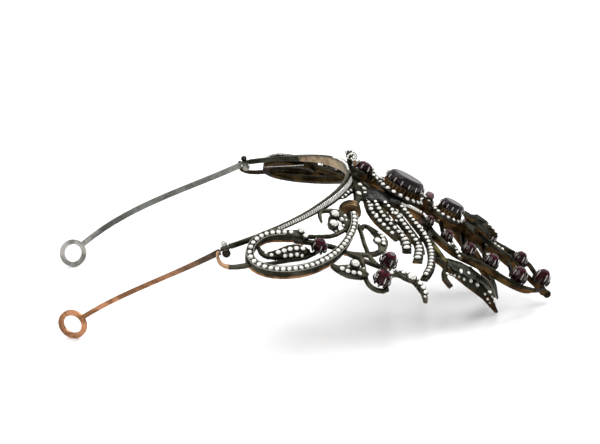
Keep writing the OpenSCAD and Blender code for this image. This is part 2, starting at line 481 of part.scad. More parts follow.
// A wider plate under a gallery, for the rim of small diamonds
module rim_plate(row, long, wide, foot) set_at(row) translate([0, 0, -foot]) hull() {
    scale([long + 4, wide + 4, 1]) cylinder(d = 1, h = 0.6, $fn = 14);
    translate([0, 0, -1]) scale([long + 2.6, wide + 2.6, 1]) cylinder(d = 1, h = 0.1, $fn = 14);
}
module crest_metal() {
    crest_half(berries, leaf_route);
    other_side() crest_half(far_berries, far_leaf_route);
    other_side() rod(perch_route, flat_section, wire_wide * 1.2, stem_deep, 0, 2);
    rod(rail_route, flat_section, channel_wide, stem_deep);
    rod(curl_route, flat_section, channel_wide, stem_deep, 0, 2);
    set_at([0, -0.048, 2.15]) rotate([90, 0, 0])
        cylinder(d = stem_deep * 1.5, h = channel_wide * 1.2, center = true, $fn = 12);
    for (r = flower_routes) rod(r, ridge_section, plate_wide, plate_deep, 0, 2);
    for (r = flower_routes) other_side() rod(r, ridge_section, plate_wide, plate_deep, 0, 2);
    set_at([0, 0.585, 2.2]) translate([0, 0, -relief * 1.5]) cylinder(d = plate_wide * 1.4,
        h = relief * 1.5, $fn = 8);
    gallery(oval_row, oval_long * 1.02, oval_wide * 1.02, relief);
    rim_plate(oval_row, oval_long, oval_wide, relief);
    gallery(second_row, second_long * 1.02, second_wide * 1.02, relief * 0.9);
    rim_plate(second_row, second_long, second_wide, relief * 0.9);
    gallery(oblong_row, oblong_long * 1.02, oblong_wide * 1.02, relief * 0.7);
    gallery(front_diamond_row, large_diamond * 1.3, large_diamond * 1.3, relief * 0.5);
    gallery(end_garnet_row, large_diamond * 1.1, large_diamond * 0.9, relief * 1.2);
    cup(tip_berry, berry_d * tip_berry[3] * 0.86, relief * 0.6);
    set_at([0, 1.01, -1.1]) sphere(d = knob_d * 1.06, $fn = 12);
    hull() for (row = [[0, 0.985, -0.8], [0, 1.01, -1.1]]) set_at(row) sphere(d = knob_d * 0.6, $fn = 8);
}
module crest() color("darkslategray") lay() difference() {
    crest_metal();
    band_bar(clearance);
    for (k = [0, 1]) mirror([0, k, 0]) {
        collar_body(clearance);
        side_metal(clearance);
    }
}

// Stones
module row_of(row, d) set_at(row) translate([0, 0, clearance]) stone(d);
module scroll_diamonds() {
    stone_row(scroll_route, scroll_pitch, scroll_stone, 0.02, 0.93, 3);
    for (k = [-0.45, 0.45]) set_at([47.3, 0.084, 0.5]) translate([k * channel_wide, 0, clearance])
        stone(scroll_stone);
}
module leaf_diamonds() {
    for (r = side_stones_large) row_of(r, large_diamond * r[3]);
    stone_row(inner_leaf_route, 2.6, scroll_stone, 0.42, 0.92);
    stone_row(low_leaf_route, 2.4, scroll_stone, 0.3, 0.85);
    stone_row(chain_route, 2.5, scroll_stone * 0.95, 0.68, 0.88);
    stone_row(hook_route, 2.4, scroll_stone * 0.95, 0.3, 0.52);
}
module feather_diamonds() {
    stone_row(feather_a, feather_stone + 0.5, feather_stone, 0.16, 0.92);
    stone_row(feather_b, feather_stone + 0.5, feather_stone, 0.24, 0.97);
    stone_row(feather_c, feather_stone + 0.5, feather_stone, 0.22, 0.97);
    stone_row(feather_d, feather_stone + 0.5, feather_stone, 0.16, 0.97);
}
module scroll_diamonds_near() color("white") lay() scroll_diamonds();
module scroll_diamonds_far() color("white") lay() other_side() scroll_diamonds();
module leaf_diamonds_near() color("white") lay() leaf_diamonds();
module leaf_diamonds_far() color("white") lay() other_side() leaf_diamonds();
module feather_diamonds_near() color("white") lay() feather_diamonds();
module feather_diamonds_far() color("white") lay() other_side() feather_diamonds();
module seated(row) set_at(row) translate([0, 0, clearance]) children();
module large_oval_garnet() color("darkred") lay() seated(oval_row)
    oval(oval_long, oval_wide, oval_high, slab_levels, 16);
module second_oval_garnet() color("darkred") lay() seated(second_row)
    oval(second_long, second_wide, second_high, slab_levels, 14);
module oblong_garnet() color("darkred") lay() seated(oblong_row)
    oval(oblong_long, oblong_wide, second_high, cut_levels, 12);
module front_diamond() color("white") lay() seated(front_diamond_row)
    oval(large_diamond * 1.2, large_diamond * 1.2, 1.6, cut_levels, 10);
module end_garnet() color("indianred") lay() seated(end_garnet_row)
    oval(large_diamond * 1.08, large_diamond * 0.86, 2, cut_levels, 10);
module berry(row) seated(row)
    oval(berry_d * row[3], berry_d * row[3], berry_d * row[3] * 0.85, berry_levels, 10);
module berry_tip() color("darkred") lay() berry(tip_berry);
module berry_near_1() color("darkred") lay() berry(berries[0]);
module berry_near_2() color("darkred") lay() berry(berries[1]);
module berry_near_3() color("darkred") lay() berry(berries[2]);
module berry_near_4() color("darkred") lay() berry(berries[3]);
module berry_near_5() color("darkred") lay() berry(berries[4]);
module berry_far_1() color("darkred") lay() other_side() berry(far_berries[0]);
module berry_far_2() color("darkred") lay() other_side() berry(far_berries[1]);
module berry_far_3() color("darkred") lay() other_side() berry(far_berries[2]);
module berry_far_4() color("darkred") lay() other_side() berry(far_berries[3]);
module berry_far_5() color("darkred") lay() other_side() berry(far_berries[4]);
module side_berry_near_1() color("darkred") lay() berry(side_berries[0]);
module side_berry_near_2() color("darkred") lay() berry(side_berries[1]);
module side_berry_near_3() color("darkred") lay() berry(side_berries[2]);
module side_berry_far_1() color("darkred") lay() other_side() berry(side_berries[0]);
module side_berry_far_2() color("darkred") lay() other_side() berry(side_berries[1]);
module side_berry_far_3() color("darkred") lay() other_side() berry(side_berries[2]);

band();
arm_near();
arm_far();
temple_screw_near();
temple_screw_far();
side_scroll_near();
side_scroll_far();
collar_near();
collar_far();
crest();
scroll_diamonds_near();
scroll_diamonds_far();
leaf_diamonds_near();
leaf_diamonds_far();
feather_diamonds_near();
feather_diamonds_far();
large_oval_garnet();
second_oval_garnet();
oblong_garnet();
front_diamond();
end_garnet();
berry_tip();
berry_near_1();
berry_near_2();
berry_near_3();
berry_near_4();
berry_near_5();
berry_far_1();
berry_far_2();
berry_far_3();
berry_far_4();
berry_far_5();
side_berry_near_1();
side_berry_near_2();
side_berry_near_3();
side_berry_far_1();
side_berry_far_2();
side_berry_far_3();
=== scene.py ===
# %% [markdown]
# # A diadem of blackened silver, worn gilt, diamonds and garnets
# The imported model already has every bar, scroll, leaf and stone at its real size and place. This
# lesson dresses it: smooth cast forms over the plain bars, cut stones in collets and claws, beaded
# edges, and the tarnish and worn gold of old silver that is backed with gold.

# %% Load the frame
import json
import math
import bmesh
import bpy
import numpy as np
from mathutils import Matrix, Vector
from mathutils.bvhtree import BVHTree

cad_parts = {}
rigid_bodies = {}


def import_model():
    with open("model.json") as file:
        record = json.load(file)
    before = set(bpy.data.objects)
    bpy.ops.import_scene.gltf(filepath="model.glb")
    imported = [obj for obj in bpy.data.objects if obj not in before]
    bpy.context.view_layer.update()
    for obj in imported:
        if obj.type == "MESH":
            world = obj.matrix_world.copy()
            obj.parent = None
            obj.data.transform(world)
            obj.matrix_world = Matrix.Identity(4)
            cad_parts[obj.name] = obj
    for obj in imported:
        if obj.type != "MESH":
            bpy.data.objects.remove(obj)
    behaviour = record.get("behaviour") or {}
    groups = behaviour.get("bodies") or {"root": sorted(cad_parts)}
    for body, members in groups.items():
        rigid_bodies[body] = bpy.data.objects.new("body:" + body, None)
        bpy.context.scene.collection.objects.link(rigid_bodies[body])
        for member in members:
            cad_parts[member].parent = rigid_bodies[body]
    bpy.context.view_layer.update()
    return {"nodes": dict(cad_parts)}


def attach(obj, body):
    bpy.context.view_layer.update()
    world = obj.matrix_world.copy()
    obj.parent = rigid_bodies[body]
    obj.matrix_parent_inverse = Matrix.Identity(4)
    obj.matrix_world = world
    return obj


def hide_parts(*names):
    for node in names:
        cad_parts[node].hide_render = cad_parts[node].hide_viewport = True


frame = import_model()
nodes = frame["nodes"]
MM = 0.001
BODY = "root"

# %% [markdown]
# ## The camera
# The picture was taken with a long lens from the near side, a little above the table. A long
# lens far away keeps the arms and the crest in the same scale, so its distance matters as much
# as its angle. The turn and the height of the view are measured from the object itself.

# %% Camera
VIEW_TURN = math.radians(2.1)
VIEW_HEIGHT = math.radians(13.9)
VIEW_DISTANCE = 1.13
LENS = 162.7
AIM = Vector((1.24, -0.48, 34.2)) * MM

camera = bpy.data.objects.new("camera", bpy.data.cameras.new("camera"))
bpy.context.scene.collection.objects.link(camera)
back = Vector((math.sin(VIEW_TURN) * math.cos(VIEW_HEIGHT), -math.cos(VIEW_TURN) * math.cos(VIEW_HEIGHT),
               math.sin(VIEW_HEIGHT)))
camera.data.lens = LENS
camera.data.clip_start = 0.05
camera.location = AIM + back * VIEW_DISTANCE
camera.rotation_euler = (-back).to_track_quat("-Z", "Y").to_euler()
bpy.context.scene.camera = camera

# %% [markdown]
# ## Where things are on the front
# The front of a diadem flares like a piece of a cone that stands on the band. A place on it is
# a turn round the band, a rise above the band and a lift off the face. These three numbers turn
# into a point, and back: with the way back, any point of the metal knows how deep it lies below
# the face, which is what decides where silver ends and gold begins.

# %% Front coordinates
BAND_RADIUS = 73.0
FLARE = math.radians(48)
CREST_RISE = 64.0
RELIEF = 4.0
LIE = (Matrix.Rotation(math.radians(1.5), 3, "X") @ Matrix.Rotation(math.radians(-13.6), 3, "Y")
       @ Matrix.Rotation(math.pi, 3, "X"))
LIE_ARRAY = np.array(LIE)


def outward(turn):
    return np.array([math.cos(turn), math.sin(turn), 0.0])


def face(turn):
    """Direction in which the front faces at a turn, before it is laid down."""
    return math.cos(FLARE) * outward(turn) - math.sin(FLARE) * np.array([0, 0, 1.0])


def worn_place(turn, rise, lift):
    """Point in millimetres, as worn, for a turn in degrees and shares of the rise and the relief."""
    a = math.radians(turn)
    up = np.array([0, 0, 1.0]) + math.tan(FLARE) * outward(a)
    start = BAND_RADIUS * (outward(a) - np.array([1.0, 0, 0]))
    return start + rise * CREST_RISE * up + lift * RELIEF * face(a)


def vertices(node):
    """The node's own points, without doubles, in metres."""
    co = np.array([v.co for v in nodes[node].data.vertices], float)
    return np.unique(np.round(co, 7), axis=0)


OVAL_SEAT = (0, 0.224, 1.95)
OVAL_HIGH = 4.2
OVAL_STEPS = (0, 0.25, 0.62, 1)
OVAL_GAP = 0.12
OVAL_MIDDLE_HEIGHT = OVAL_HIGH * sum(OVAL_STEPS) / len(OVAL_STEPS) + OVAL_GAP
oval_middle = worn_place(*OVAL_SEAT) + OVAL_MIDDLE_HEIGHT * face(0)
LAID_AT = vertices("large_oval_garnet").mean(0) / MM - LIE_ARRAY @ oval_middle


def laid(point):
    return (LIE_ARRAY @ np.asarray(point) + LAID_AT) * MM


def front_frame(turn, rise, lift):
    """Seat on the front: point, outward direction and the direction up the crest, laid down."""
    a = math.radians(turn)
    w = face(a)
    around = np.array([-math.sin(a), math.cos(a), 0])
    return laid(worn_place(turn, rise, lift)), LIE_ARRAY @ w, LIE_ARRAY @ np.cross(around, w)


def front_numbers(points):
    """For laid points in metres: turn in radians, way up the face and lift off it in millimetres."""
    worn = (np.asarray(points) / MM - LAID_AT) @ LIE_ARRAY
    radius = np.hypot(worn[:, 0] + BAND_RADIUS, worn[:, 1])
    turn = np.arctan2(worn[:, 1], worn[:, 0] + BAND_RADIUS)
    out = radius - BAND_RADIUS
    return (turn, out * math.sin(FLARE) + worn[:, 2] * math.cos(FLARE),
            out * math.cos(FLARE) - worn[:, 2] * math.sin(FLARE))


def face_at(points):
    """Outward direction of the front beside each laid point."""
    turn = front_numbers(points)[0]
    worn = np.stack([np.cos(turn) * math.cos(FLARE), np.sin(turn) * math.cos(FLARE),
                     np.full(len(turn), -math.sin(FLARE))], 1)
    return worn @ LIE_ARRAY.T


print("the frame's origin lies at", LAID_AT.round(2), "mm from the middle of the band's front")

# %% [markdown]
# ## Growing repeated pieces with Geometry Nodes
# Some hundreds of stones, claws and beads repeat, so three small trees make them all. The first
# sets a jewel on every point of a mesh, turned by two attributes. The second draws a wire along
# a line of edges. The third strings beads along it. Each ends in Realize Instances and Set
# Material, and the result is stored as a plain mesh.

# %% Tree helpers
def new_node(tree, kind, inputs=(), **settings):
    """Adds a node; each input is a title, or a number, with the socket or value that goes into it."""
    made = tree.nodes.new(kind)
    for key, value in settings.items():
        setattr(made, key, value)
    for title, value in inputs:
        if isinstance(value, bpy.types.NodeSocket):
            tree.links.new(value, made.inputs[title])
        else:
            made.inputs[title].default_value = value
    return made


def new_tree(name, inputs):
    """A tree that takes geometry and the named inputs; gives the tree and its inputs' sockets."""
    tree = bpy.data.node_groups.new(name, "GeometryNodeTree")
    for title, kind in [("Geometry", "Geometry")] + inputs + [("Material", "Material")]:
        tree.interface.new_socket(title, in_out="INPUT", socket_type="NodeSocket" + kind)
    tree.interface.new_socket("Geometry", in_out="OUTPUT", socket_type="NodeSocketGeometry")
    return tree, new_node(tree, "NodeGroupInput").outputs


def named(tree, name, kind):
    return new_node(tree, "GeometryNodeInputNamedAttribute", [("Name", name)],
                    data_type=kind).outputs["Attribute"]


def finish_tree(tree, geometry, given):
    """Realize the copies, set the material and put out, as the last steps of every tree."""
    real = new_node(tree, "GeometryNodeRealizeInstances", [("Geometry", geometry)])
    paint = new_node(tree, "GeometryNodeSetMaterial",
                     [("Geometry", real.outputs["Geometry"]), ("Material", given["Material"])])
    new_node(tree, "NodeGroupOutput", [("Geometry", paint.outputs["Geometry"])])
    return tree


def jewel_tree():
    tree, given = new_tree("set jewels", [("Jewel", "Object"), ("Random turn", "Float"), ("Seed", "Int")])
    jewel = new_node(tree, "GeometryNodeObjectInfo", [("Object", given["Jewel"])])
    axes = new_node(tree, "FunctionNodeAxesToRotation",
                    [("Primary Axis", named(tree, "up", "FLOAT_VECTOR")),
                     ("Secondary Axis", named(tree, "along", "FLOAT_VECTOR"))],
                    primary_axis="Z", secondary_axis="X")
    chance = new_node(tree, "FunctionNodeRandomValue", [("Seed", given["Seed"])], data_type="FLOAT")
    most = [s for s in chance.inputs if s.name == "Max" and s.type == "VALUE"][0]
    tree.links.new(given["Random turn"], most)
    angle = [s for s in chance.outputs if s.enabled][0]
    spin = new_node(tree, "FunctionNodeAxisAngleToRotation", [("Axis", (0, 0, 1)), ("Angle", angle)])
    both = new_node(tree, "FunctionNodeRotateRotation",
                    [("Rotation", axes.outputs["Rotation"]), ("Rotate By", spin.outputs["Rotation"])],
                    rotation_space="LOCAL")
    place = new_node(tree, "GeometryNodeInstanceOnPoints",
                     [("Points", given["Geometry"]), ("Instance", jewel.outputs["Geometry"]),
                      ("Rotation", both.outputs["Rotation"]),
                      ("Scale", named(tree, "size", "FLOAT_VECTOR"))])
    return finish_tree(tree, place.outputs["Instances"], given)


def wire_tree():
    tree, given = new_tree("wire", [("Radius", "Float"), ("Sides", "Int")])
    curve = new_node(tree, "GeometryNodeMeshToCurve", [("Mesh", given["Geometry"])])
    ring = new_node(tree, "GeometryNodeCurvePrimitiveCircle",
                    [("Resolution", given["Sides"]), ("Radius", given["Radius"])])
    sweep = new_node(tree, "GeometryNodeCurveToMesh",
                     [("Curve", curve.outputs["Curve"]), ("Profile Curve", ring.outputs["Curve"]),
                      ("Scale", named(tree, "thick", "FLOAT")), ("Fill Caps", True)])
    smooth = new_node(tree, "GeometryNodeSetShadeSmooth", [("Geometry", sweep.outputs["Mesh"])])
    return finish_tree(tree, smooth.outputs["Geometry"], given)


def bead_tree():
    tree, given = new_tree("beads", [("Spacing", "Float"), ("Radius", "Float")])
    curve = new_node(tree, "GeometryNodeMeshToCurve", [("Mesh", given["Geometry"])])
    even = new_node(tree, "GeometryNodeResampleCurve",
                    [("Curve", curve.outputs["Curve"]), ("Length", given["Spacing"])], mode="LENGTH")
    ball = new_node(tree, "GeometryNodeMeshIcoSphere", [("Subdivisions", 1), ("Radius", given["Radius"])])
    place = new_node(tree, "GeometryNodeInstanceOnPoints",
                     [("Points", even.outputs["Curve"]), ("Instance", ball.outputs["Mesh"])])
    return finish_tree(tree, place.outputs["Instances"], given)


JEWELS, WIRE, BEADS = jewel_tree(), wire_tree(), bead_tree()
print("trees", [t.name for t in (JEWELS, WIRE, BEADS)])

# %% [markdown]
# Each tree runs on a small host mesh: points for jewels, edges for wires and beads. The host
# carries the directions and sizes as attributes, and is thrown away when its result is kept.

# %% Pieces from trees
FULL_TURN = 6.28


def link_new(name, mesh):
    obj = bpy.data.objects.new(name, mesh)
    bpy.context.scene.collection.objects.link(obj)
    return obj


def grown(name, host, tree, **given):
    """Runs a tree on a host object and keeps the result as a plain mesh of that name."""
    mod = host.modifiers.new(tree.name, "NODES")
    mod.node_group = tree
    for socket in tree.interface.items_tree:
        key = socket.name.lower().replace(" ", "_")
        if socket.in_out == "INPUT" and key in given:
            mod[socket.identifier] = given[key]
    graph = bpy.context.evaluated_depsgraph_get()
    mesh = bpy.data.meshes.new_from_object(host.evaluated_get(graph), depsgraph=graph)
    bpy.data.objects.remove(host)
    mesh.name = name
    return link_new(name, mesh)


def store(mesh, name, values, kind="FLOAT", domain="POINT"):
    """Stores numbers or vectors on a mesh as an attribute."""
    layer = mesh.attributes.new(name, kind, domain)
    layer.data.foreach_set("value" if kind == "FLOAT" else "vector", np.asarray(values, np.float32).ravel())


def set_jewels(name, seats, jewel, material, random_turn=0.0, seed=1):
    """One mesh of a jewel set on every seat: (point, up, along, size) with the size in millimetres."""
    mesh = bpy.data.meshes.new(name)
    mesh.from_pydata([tuple(s[0]) for s in seats], [], [])
    sizes = [np.broadcast_to(np.asarray(s[3], float), 3) * MM for s in seats]
    for layer, values in (("up", [s[1] for s in seats]), ("along", [s[2] for s in seats]), ("size", sizes)):
        store(mesh, layer, values, "FLOAT_VECTOR")
    return grown(name, link_new(name + "_seats", mesh), JEWELS, jewel=jewel, random_turn=random_turn,
                 seed=seed, material=material)


def line_host(name, lines, thick=None):
    """A mesh of edges along each line of points, closed where a line ends at its first point."""
    points, edges, widths = [], [], []
    for k, line in enumerate(lines):
        closed = np.linalg.norm(np.asarray(line[0]) - np.asarray(line[-1])) < 1e-7
        body = list(line[:-1]) if closed else list(line)
        first = len(points)
        points += [tuple(p) for p in body]
        edges += [(first + i, first + i + 1) for i in range(len(body) - 1)]
        edges += [(first + len(body) - 1, first)] if closed else []
        widths += list(thick[k]) if thick is not None else [1.0] * len(body)
    mesh = bpy.data.meshes.new(name)
    mesh.from_pydata(points, edges, [])
    store(mesh, "thick", widths)
    return link_new(name + "_line", mesh)


def wires(name, lines, radius, material, sides=6, thick=None):
    return grown(name, line_host(name, lines, thick), WIRE, radius=radius * MM, sides=sides,
                 material=material)


def beads(name, lines, spacing, radius, material):
    return grown(name, line_host(name, lines), BEADS, spacing=spacing * MM, radius=radius * MM,
                 material=material)


def join(name, parts):
    """Joins finished meshes into one piece."""
    for o in bpy.context.selected_objects:
        o.select_set(False)
    for o in parts:
        o.select_set(True)
    bpy.context.view_layer.objects.active = parts[0]
    bpy.ops.object.join()
    parts[0].name = name
    parts[0].select_set(False)
    return parts[0]


def triangles(obj):
    return sum(len(p.vertices) - 2 for p in obj.data.polygons)


def shade_smooth(obj):
    obj.data.polygons.foreach_set("use_smooth", [True] * len(obj.data.polygons))

# %% [markdown]
# ## Finishes
# Old silver work of this kind is silver in front and gold behind. The silver has gone nearly
# black in the hollows and is rubbed grey on the edges, and the gold shows as a brown, rosy strip
# along the lower walls and over the back. One material does both: it reads how deep a point lies
# below the face from an attribute, breaks the boundary up with noise, and lifts the colour where
# the surface is convex.

# %% Material helpers
def material(name):
    made = bpy.data.materials.new(name)
    made.use_nodes = True
    tree = made.node_tree
    tree.nodes.clear()
    shader = new_node(tree, "ShaderNodeBsdfPrincipled")
    new_node(tree, "ShaderNodeOutputMaterial", [("Surface", shader.outputs["BSDF"])])
    return made, tree, shader


def on_object(tree):
    """The object's own coordinates, in metres."""
    return new_node(tree, "ShaderNodeTexCoord").outputs["Object"]


def noise(tree, scale, detail=3.0):
    return new_node(tree, "ShaderNodeTexNoise", [("Vector", on_object(tree)), ("Scale", scale),
                                                 ("Detail", detail), ("Roughness", 0.55)]).outputs["Fac"]


def fine_lines(tree, scale):
    """Fine wavering lines, as a graver or a file leaves them."""
    return new_node(tree, "ShaderNodeTexWave",
                    [("Vector", on_object(tree)), ("Scale", scale), ("Distortion", 9.0), ("Detail", 2.0),
                     ("Detail Scale", 1.5)]).outputs["Fac"]


def ramp(tree, value, low, high, to_low=0.0, to_high=1.0):
    """Carries a value from one range over to another, with soft ends."""
    return new_node(tree, "ShaderNodeMapRange",
                    [("Value", value), ("From Min", low), ("From Max", high), ("To Min", to_low),
                     ("To Max", to_high)], interpolation_type="SMOOTHSTEP").outputs["Result"]


def blend(tree, share, low, high):
    """Mixes two colours, each a socket or a tuple, by a share that is a socket or a number."""
    made = new_node(tree, "ShaderNodeMix", data_type="RGBA")
    for title, value in (("Factor", share), ("A", low), ("B", high)):
        kind = "VALUE" if title == "Factor" else "RGBA"
        socket = [s for s in made.inputs if s.name == title and s.type == kind][0]
        if isinstance(value, bpy.types.NodeSocket):
            tree.links.new(value, socket)
        else:
            socket.default_value = value if title == "Factor" else (*value, 1.0)
    return [s for s in made.outputs if s.type == "RGBA"][0]


def calc(tree, operation, a, b):
    """Reckons with two values; sums and differences are kept between 0 and 1."""
    return new_node(tree, "ShaderNodeMath", [(0, a), (1, b)], operation=operation,
                    use_clamp=operation in ("ADD", "SUBTRACT")).outputs["Value"]


def times(tree, a, b):
    return calc(tree, "MULTIPLY", a, b)


def attribute(tree, name):
    return new_node(tree, "ShaderNodeAttribute", attribute_name=name).outputs["Fac"]


# %% [markdown]
# The metals differ only in a few colours and in how much is rubbed bright or shows gold, so one
# function makes them all. Where no share of gold is given, it is read from the mesh.

# %% Metals
SILVER_DARK = (0.010, 0.009, 0.005)
SILVER_OLIVE = (0.036, 0.034, 0.024)
SILVER_WORN = (0.34, 0.33, 0.28)
VEIN_GREY = (0.17, 0.18, 0.15)
GOLD_BROWN = (0.020, 0.011, 0.004)
GOLD_ROSE = (0.115, 0.058, 0.020)
# Painted highlight: the gold of the wire hooks is painted towards this brighter colour, a painted glint.
GOLD_GLINT = (0.40, 0.24, 0.145)
STAINS = 160.0
GRAIN = 1400.0
GRAVING = 330.0
BUMP_MM = 0.12
BUMP_STRENGTH = 0.6


def old_metal(name, gilt=None, wear=0.55, dark=SILVER_DARK, mid=SILVER_OLIVE, gold=GOLD_BROWN,
              rose=GOLD_ROSE, metallic=0.85, grazing=0.3, ends=GOLD_GLINT, veins=0.0):
    """Tarnished silver with a gold back. gilt is a share, a function that makes one, or None to read it."""
    made, tree, shader = material(name)
    cloud = noise(tree, STAINS)
    grain = noise(tree, GRAIN, 2.0)
    silver = blend(tree, ramp(tree, cloud, 0.42, 0.64), dark, mid)
    edge = new_node(tree, "ShaderNodeNewGeometry").outputs["Pointiness"]
    rubbed = times(tree, ramp(tree, edge, 0.53, 0.63), ramp(tree, grain, 0.30, 0.60, 0.35, 1.0))
    silver = blend(tree, times(tree, rubbed, wear), silver, SILVER_WORN)
    relief = grain
    if veins:
        lines = fine_lines(tree, GRAVING)
        silver = blend(tree, times(tree, ramp(tree, lines, 0.62, 0.95), veins), silver, VEIN_GREY)
        relief = calc(tree, "ADD", times(tree, grain, 0.4), times(tree, lines, 0.6))
    warm = blend(tree, ramp(tree, cloud, 0.40, 0.62), gold, rose)
    if gilt is None:
        # Painted highlight: where the bright attribute is set, at the wire hooks, the gold is painted
        # towards the glint colour given as ends.
        warm = blend(tree, attribute(tree, "bright"), warm, ends)
        uneven = times(tree, calc(tree, "SUBTRACT", cloud, 0.30), 1.3)
        deep = times(tree, attribute(tree, "gilt"), calc(tree, "ADD", uneven, 0.62))
        base = blend(tree, ramp(tree, deep, 0.30, 0.62), silver, warm)
    else:
        base = blend(tree, gilt(tree) if callable(gilt) else gilt, silver, warm)
    tree.links.new(base, shader.inputs["Base Color"])
    shader.inputs["Metallic"].default_value = metallic
    shader.inputs["Specular Tint"].default_value = (grazing, grazing, grazing * 0.85, 1.0)
    tree.links.new(ramp(tree, cloud, 0.30, 0.70, 0.26, 0.46), shader.inputs["Roughness"])
    bump = new_node(tree, "ShaderNodeBump", [("Height", relief), ("Distance", BUMP_MM * MM),
                                             ("Strength", BUMP_STRENGTH)])
    tree.links.new(bump.outputs["Normal"], shader.inputs["Normal"])
    return made


SILVER = old_metal("blackened_silver")
GALLERY = old_metal("gallery_gold", gilt=1.0, wear=0.3, gold=(0.035, 0.020, 0.007),
                    rose=(0.17, 0.095, 0.034))
COLLET = old_metal("collet_silver", gilt=0.0, wear=0.15, dark=(0.009, 0.009, 0.007),
                   mid=(0.030, 0.030, 0.024))
# Partly rubbed wear, partly a painted highlight: light grey silver for thin light lines along channel edges,
# the leaf's ridge and the end garnet's claws.
RUBBED_HIGHLIGHT = old_metal("rubbed_silver", gilt=0.0, wear=1.0, dark=(0.07, 0.07, 0.06),
                   mid=(0.20, 0.20, 0.175), grazing=0.6)
# Painted highlight: claws and thin light lines are painted near white, for the white strokes of light they
# catch.
CLAW_HIGHLIGHT = old_metal("claw_silver", gilt=0.0, wear=1.0, dark=(0.55, 0.53, 0.51), mid=(0.85, 0.82, 0.80),
                 metallic=0.25, grazing=1.0)
# Painted bounce light: the near scroll's gold is painted brighter than the gold elsewhere, for the light the
# floor throws up onto its lower edges.
NEAR_SCROLL_BOUNCE_LIT = old_metal("scroll_silver", dark=(0.018, 0.017, 0.011), mid=(0.060, 0.056, 0.041),
                   gold=(0.10, 0.05, 0.02), rose=(0.36, 0.18, 0.08))
# Painted shade: the far scroll is a darker copy of the same metal, painted shade on the inner face it shows,
# with a dark colour at its hook in place of the painted glint.
FAR_SCROLL_SHADED = old_metal("scroll_silver_far", dark=(0.012, 0.010, 0.006), gold=(0.014, 0.009, 0.003),
                       rose=(0.060, 0.036, 0.012), ends=(0.035, 0.020, 0.009))
GOLD = old_metal("worn_gold", gilt=1.0, wear=0.3, gold=(0.030, 0.018, 0.008),
                 rose=(0.15, 0.092, 0.044), grazing=0.6)
FLOWER = old_metal("leaf_silver", gilt=0.0, wear=0.6, dark=(0.012, 0.012, 0.008),
                   mid=(0.050, 0.052, 0.042), veins=0.45)
PETAL = old_metal("petal_silver", gilt=0.0, wear=0.5, dark=(0.014, 0.015, 0.015),
                  mid=(0.052, 0.055, 0.055), veins=0.18)
OLIVE_GOLD = old_metal("olive_gold", gilt=1.0, wear=0.3, gold=(0.018, 0.016, 0.005),
                       rose=(0.080, 0.064, 0.024))
WALL = old_metal("wall_gold", gilt=1.0, wear=0.3, gold=(0.016, 0.010, 0.004),
                 rose=(0.085, 0.046, 0.016))


def along_object(axis, low, high):
    """A share that rises from 0 to 1 between two places along an axis, given in millimetres."""
    def made(tree):
        split = new_node(tree, "ShaderNodeSeparateXYZ", [("Vector", on_object(tree))])
        return ramp(tree, split.outputs[axis], low * MM, high * MM)
    return made


COPPER = old_metal("arm_copper", along_object("X", -24, -62), wear=0.2, dark=(0.020, 0.012, 0.006),
                   mid=(0.06, 0.032, 0.017), gold=(0.17, 0.078, 0.036), rose=(0.46, 0.22, 0.115),
                   grazing=0.6)
STEEL = old_metal("arm_steel", along_object("X", -86, -96), wear=0.5, dark=(0.055, 0.064, 0.060),
                  mid=(0.17, 0.195, 0.19), gold=(0.30, 0.29, 0.27), rose=(0.60, 0.58, 0.55),
                  grazing=0.9)
SCREW_NEAR = old_metal("screw_near", along_object("Z", 39.6, 40.4), gold=(0.25, 0.25, 0.24),
                       rose=(0.55, 0.55, 0.52))
SCREW_FAR = old_metal("screw_far", along_object("Z", 43.4, 43.0), gold=(0.20, 0.20, 0.17),
                      rose=(0.36, 0.36, 0.30))
print("materials so far, with the frame's own", len(bpy.data.materials))

# %% [markdown]
# A cut stone is told by facets that differ. Each facet of the mesh carries its own painted
# brightness, a painted sparkle, and the material turns that into a colour between a deep and a bright one.

# %% Stones
CLOUDS = 420.0


def stone_material(name, deep, bright, rough=0.04, ior=1.77, gloss=0.5, contrast=1.0, shift=0.34):
    """Cut stone whose facets differ: an attribute of the mesh paints how bright each facet is, a painted
    sparkle.
    """
    made, tree, shader = material(name)
    # Painted sparkle: a facet's painted brightness carries its colour from the deep one to the bright one.
    fire = calc(tree, "POWER", attribute(tree, "fire"), contrast)
    cloud = ramp(tree, noise(tree, CLOUDS, 2.0), 0.36, 0.64, 0.0, shift)
    mixed = calc(tree, "ADD", times(tree, fire, 0.72), cloud)
    tree.links.new(blend(tree, mixed, deep, bright), shader.inputs["Base Color"])
    for title, value in (("Roughness", rough), ("IOR", ior), ("Specular IOR Level", gloss)):
        shader.inputs[title].default_value = value
    return made


# Each stone's colour runs from its deep colour to its bright one as the painted sparkle of its facets rises.
DIAMOND = stone_material("diamond", (0.13, 0.125, 0.11), (1.0, 0.97, 0.90), rough=0.06, ior=1.9)
GARNET = stone_material("garnet", (0.004, 0.0005, 0.001), (0.155, 0.006, 0.024), rough=0.05, ior=1.5,
                        gloss=0.16, contrast=2.2, shift=0.12)
OVAL = stone_material("oval_garnet", (0.004, 0.001, 0.003), (0.030, 0.003, 0.012), rough=0.05,
                      ior=1.6, gloss=0.28, contrast=2.0, shift=0.1)
PINK = stone_material("pink_garnet", (0.05, 0.012, 0.018), (0.28, 0.13, 0.15), rough=0.06, ior=1.6)
print("stones' materials", [m.name for m in (DIAMOND, GARNET, OVAL, PINK)])

# %% [markdown]
# ## The stones' cuts
# A stone is the hull of a few rings of points: girdle, crown and table. Turning every second
# ring by half a step gives the triangles and kites of a real cut. Each facet carries a painted
# brightness as an attribute, a painted sparkle that is higher on the crown than on the sides, so
# that a row of the same stone, each turned by chance, sparkles unevenly as a real row does.

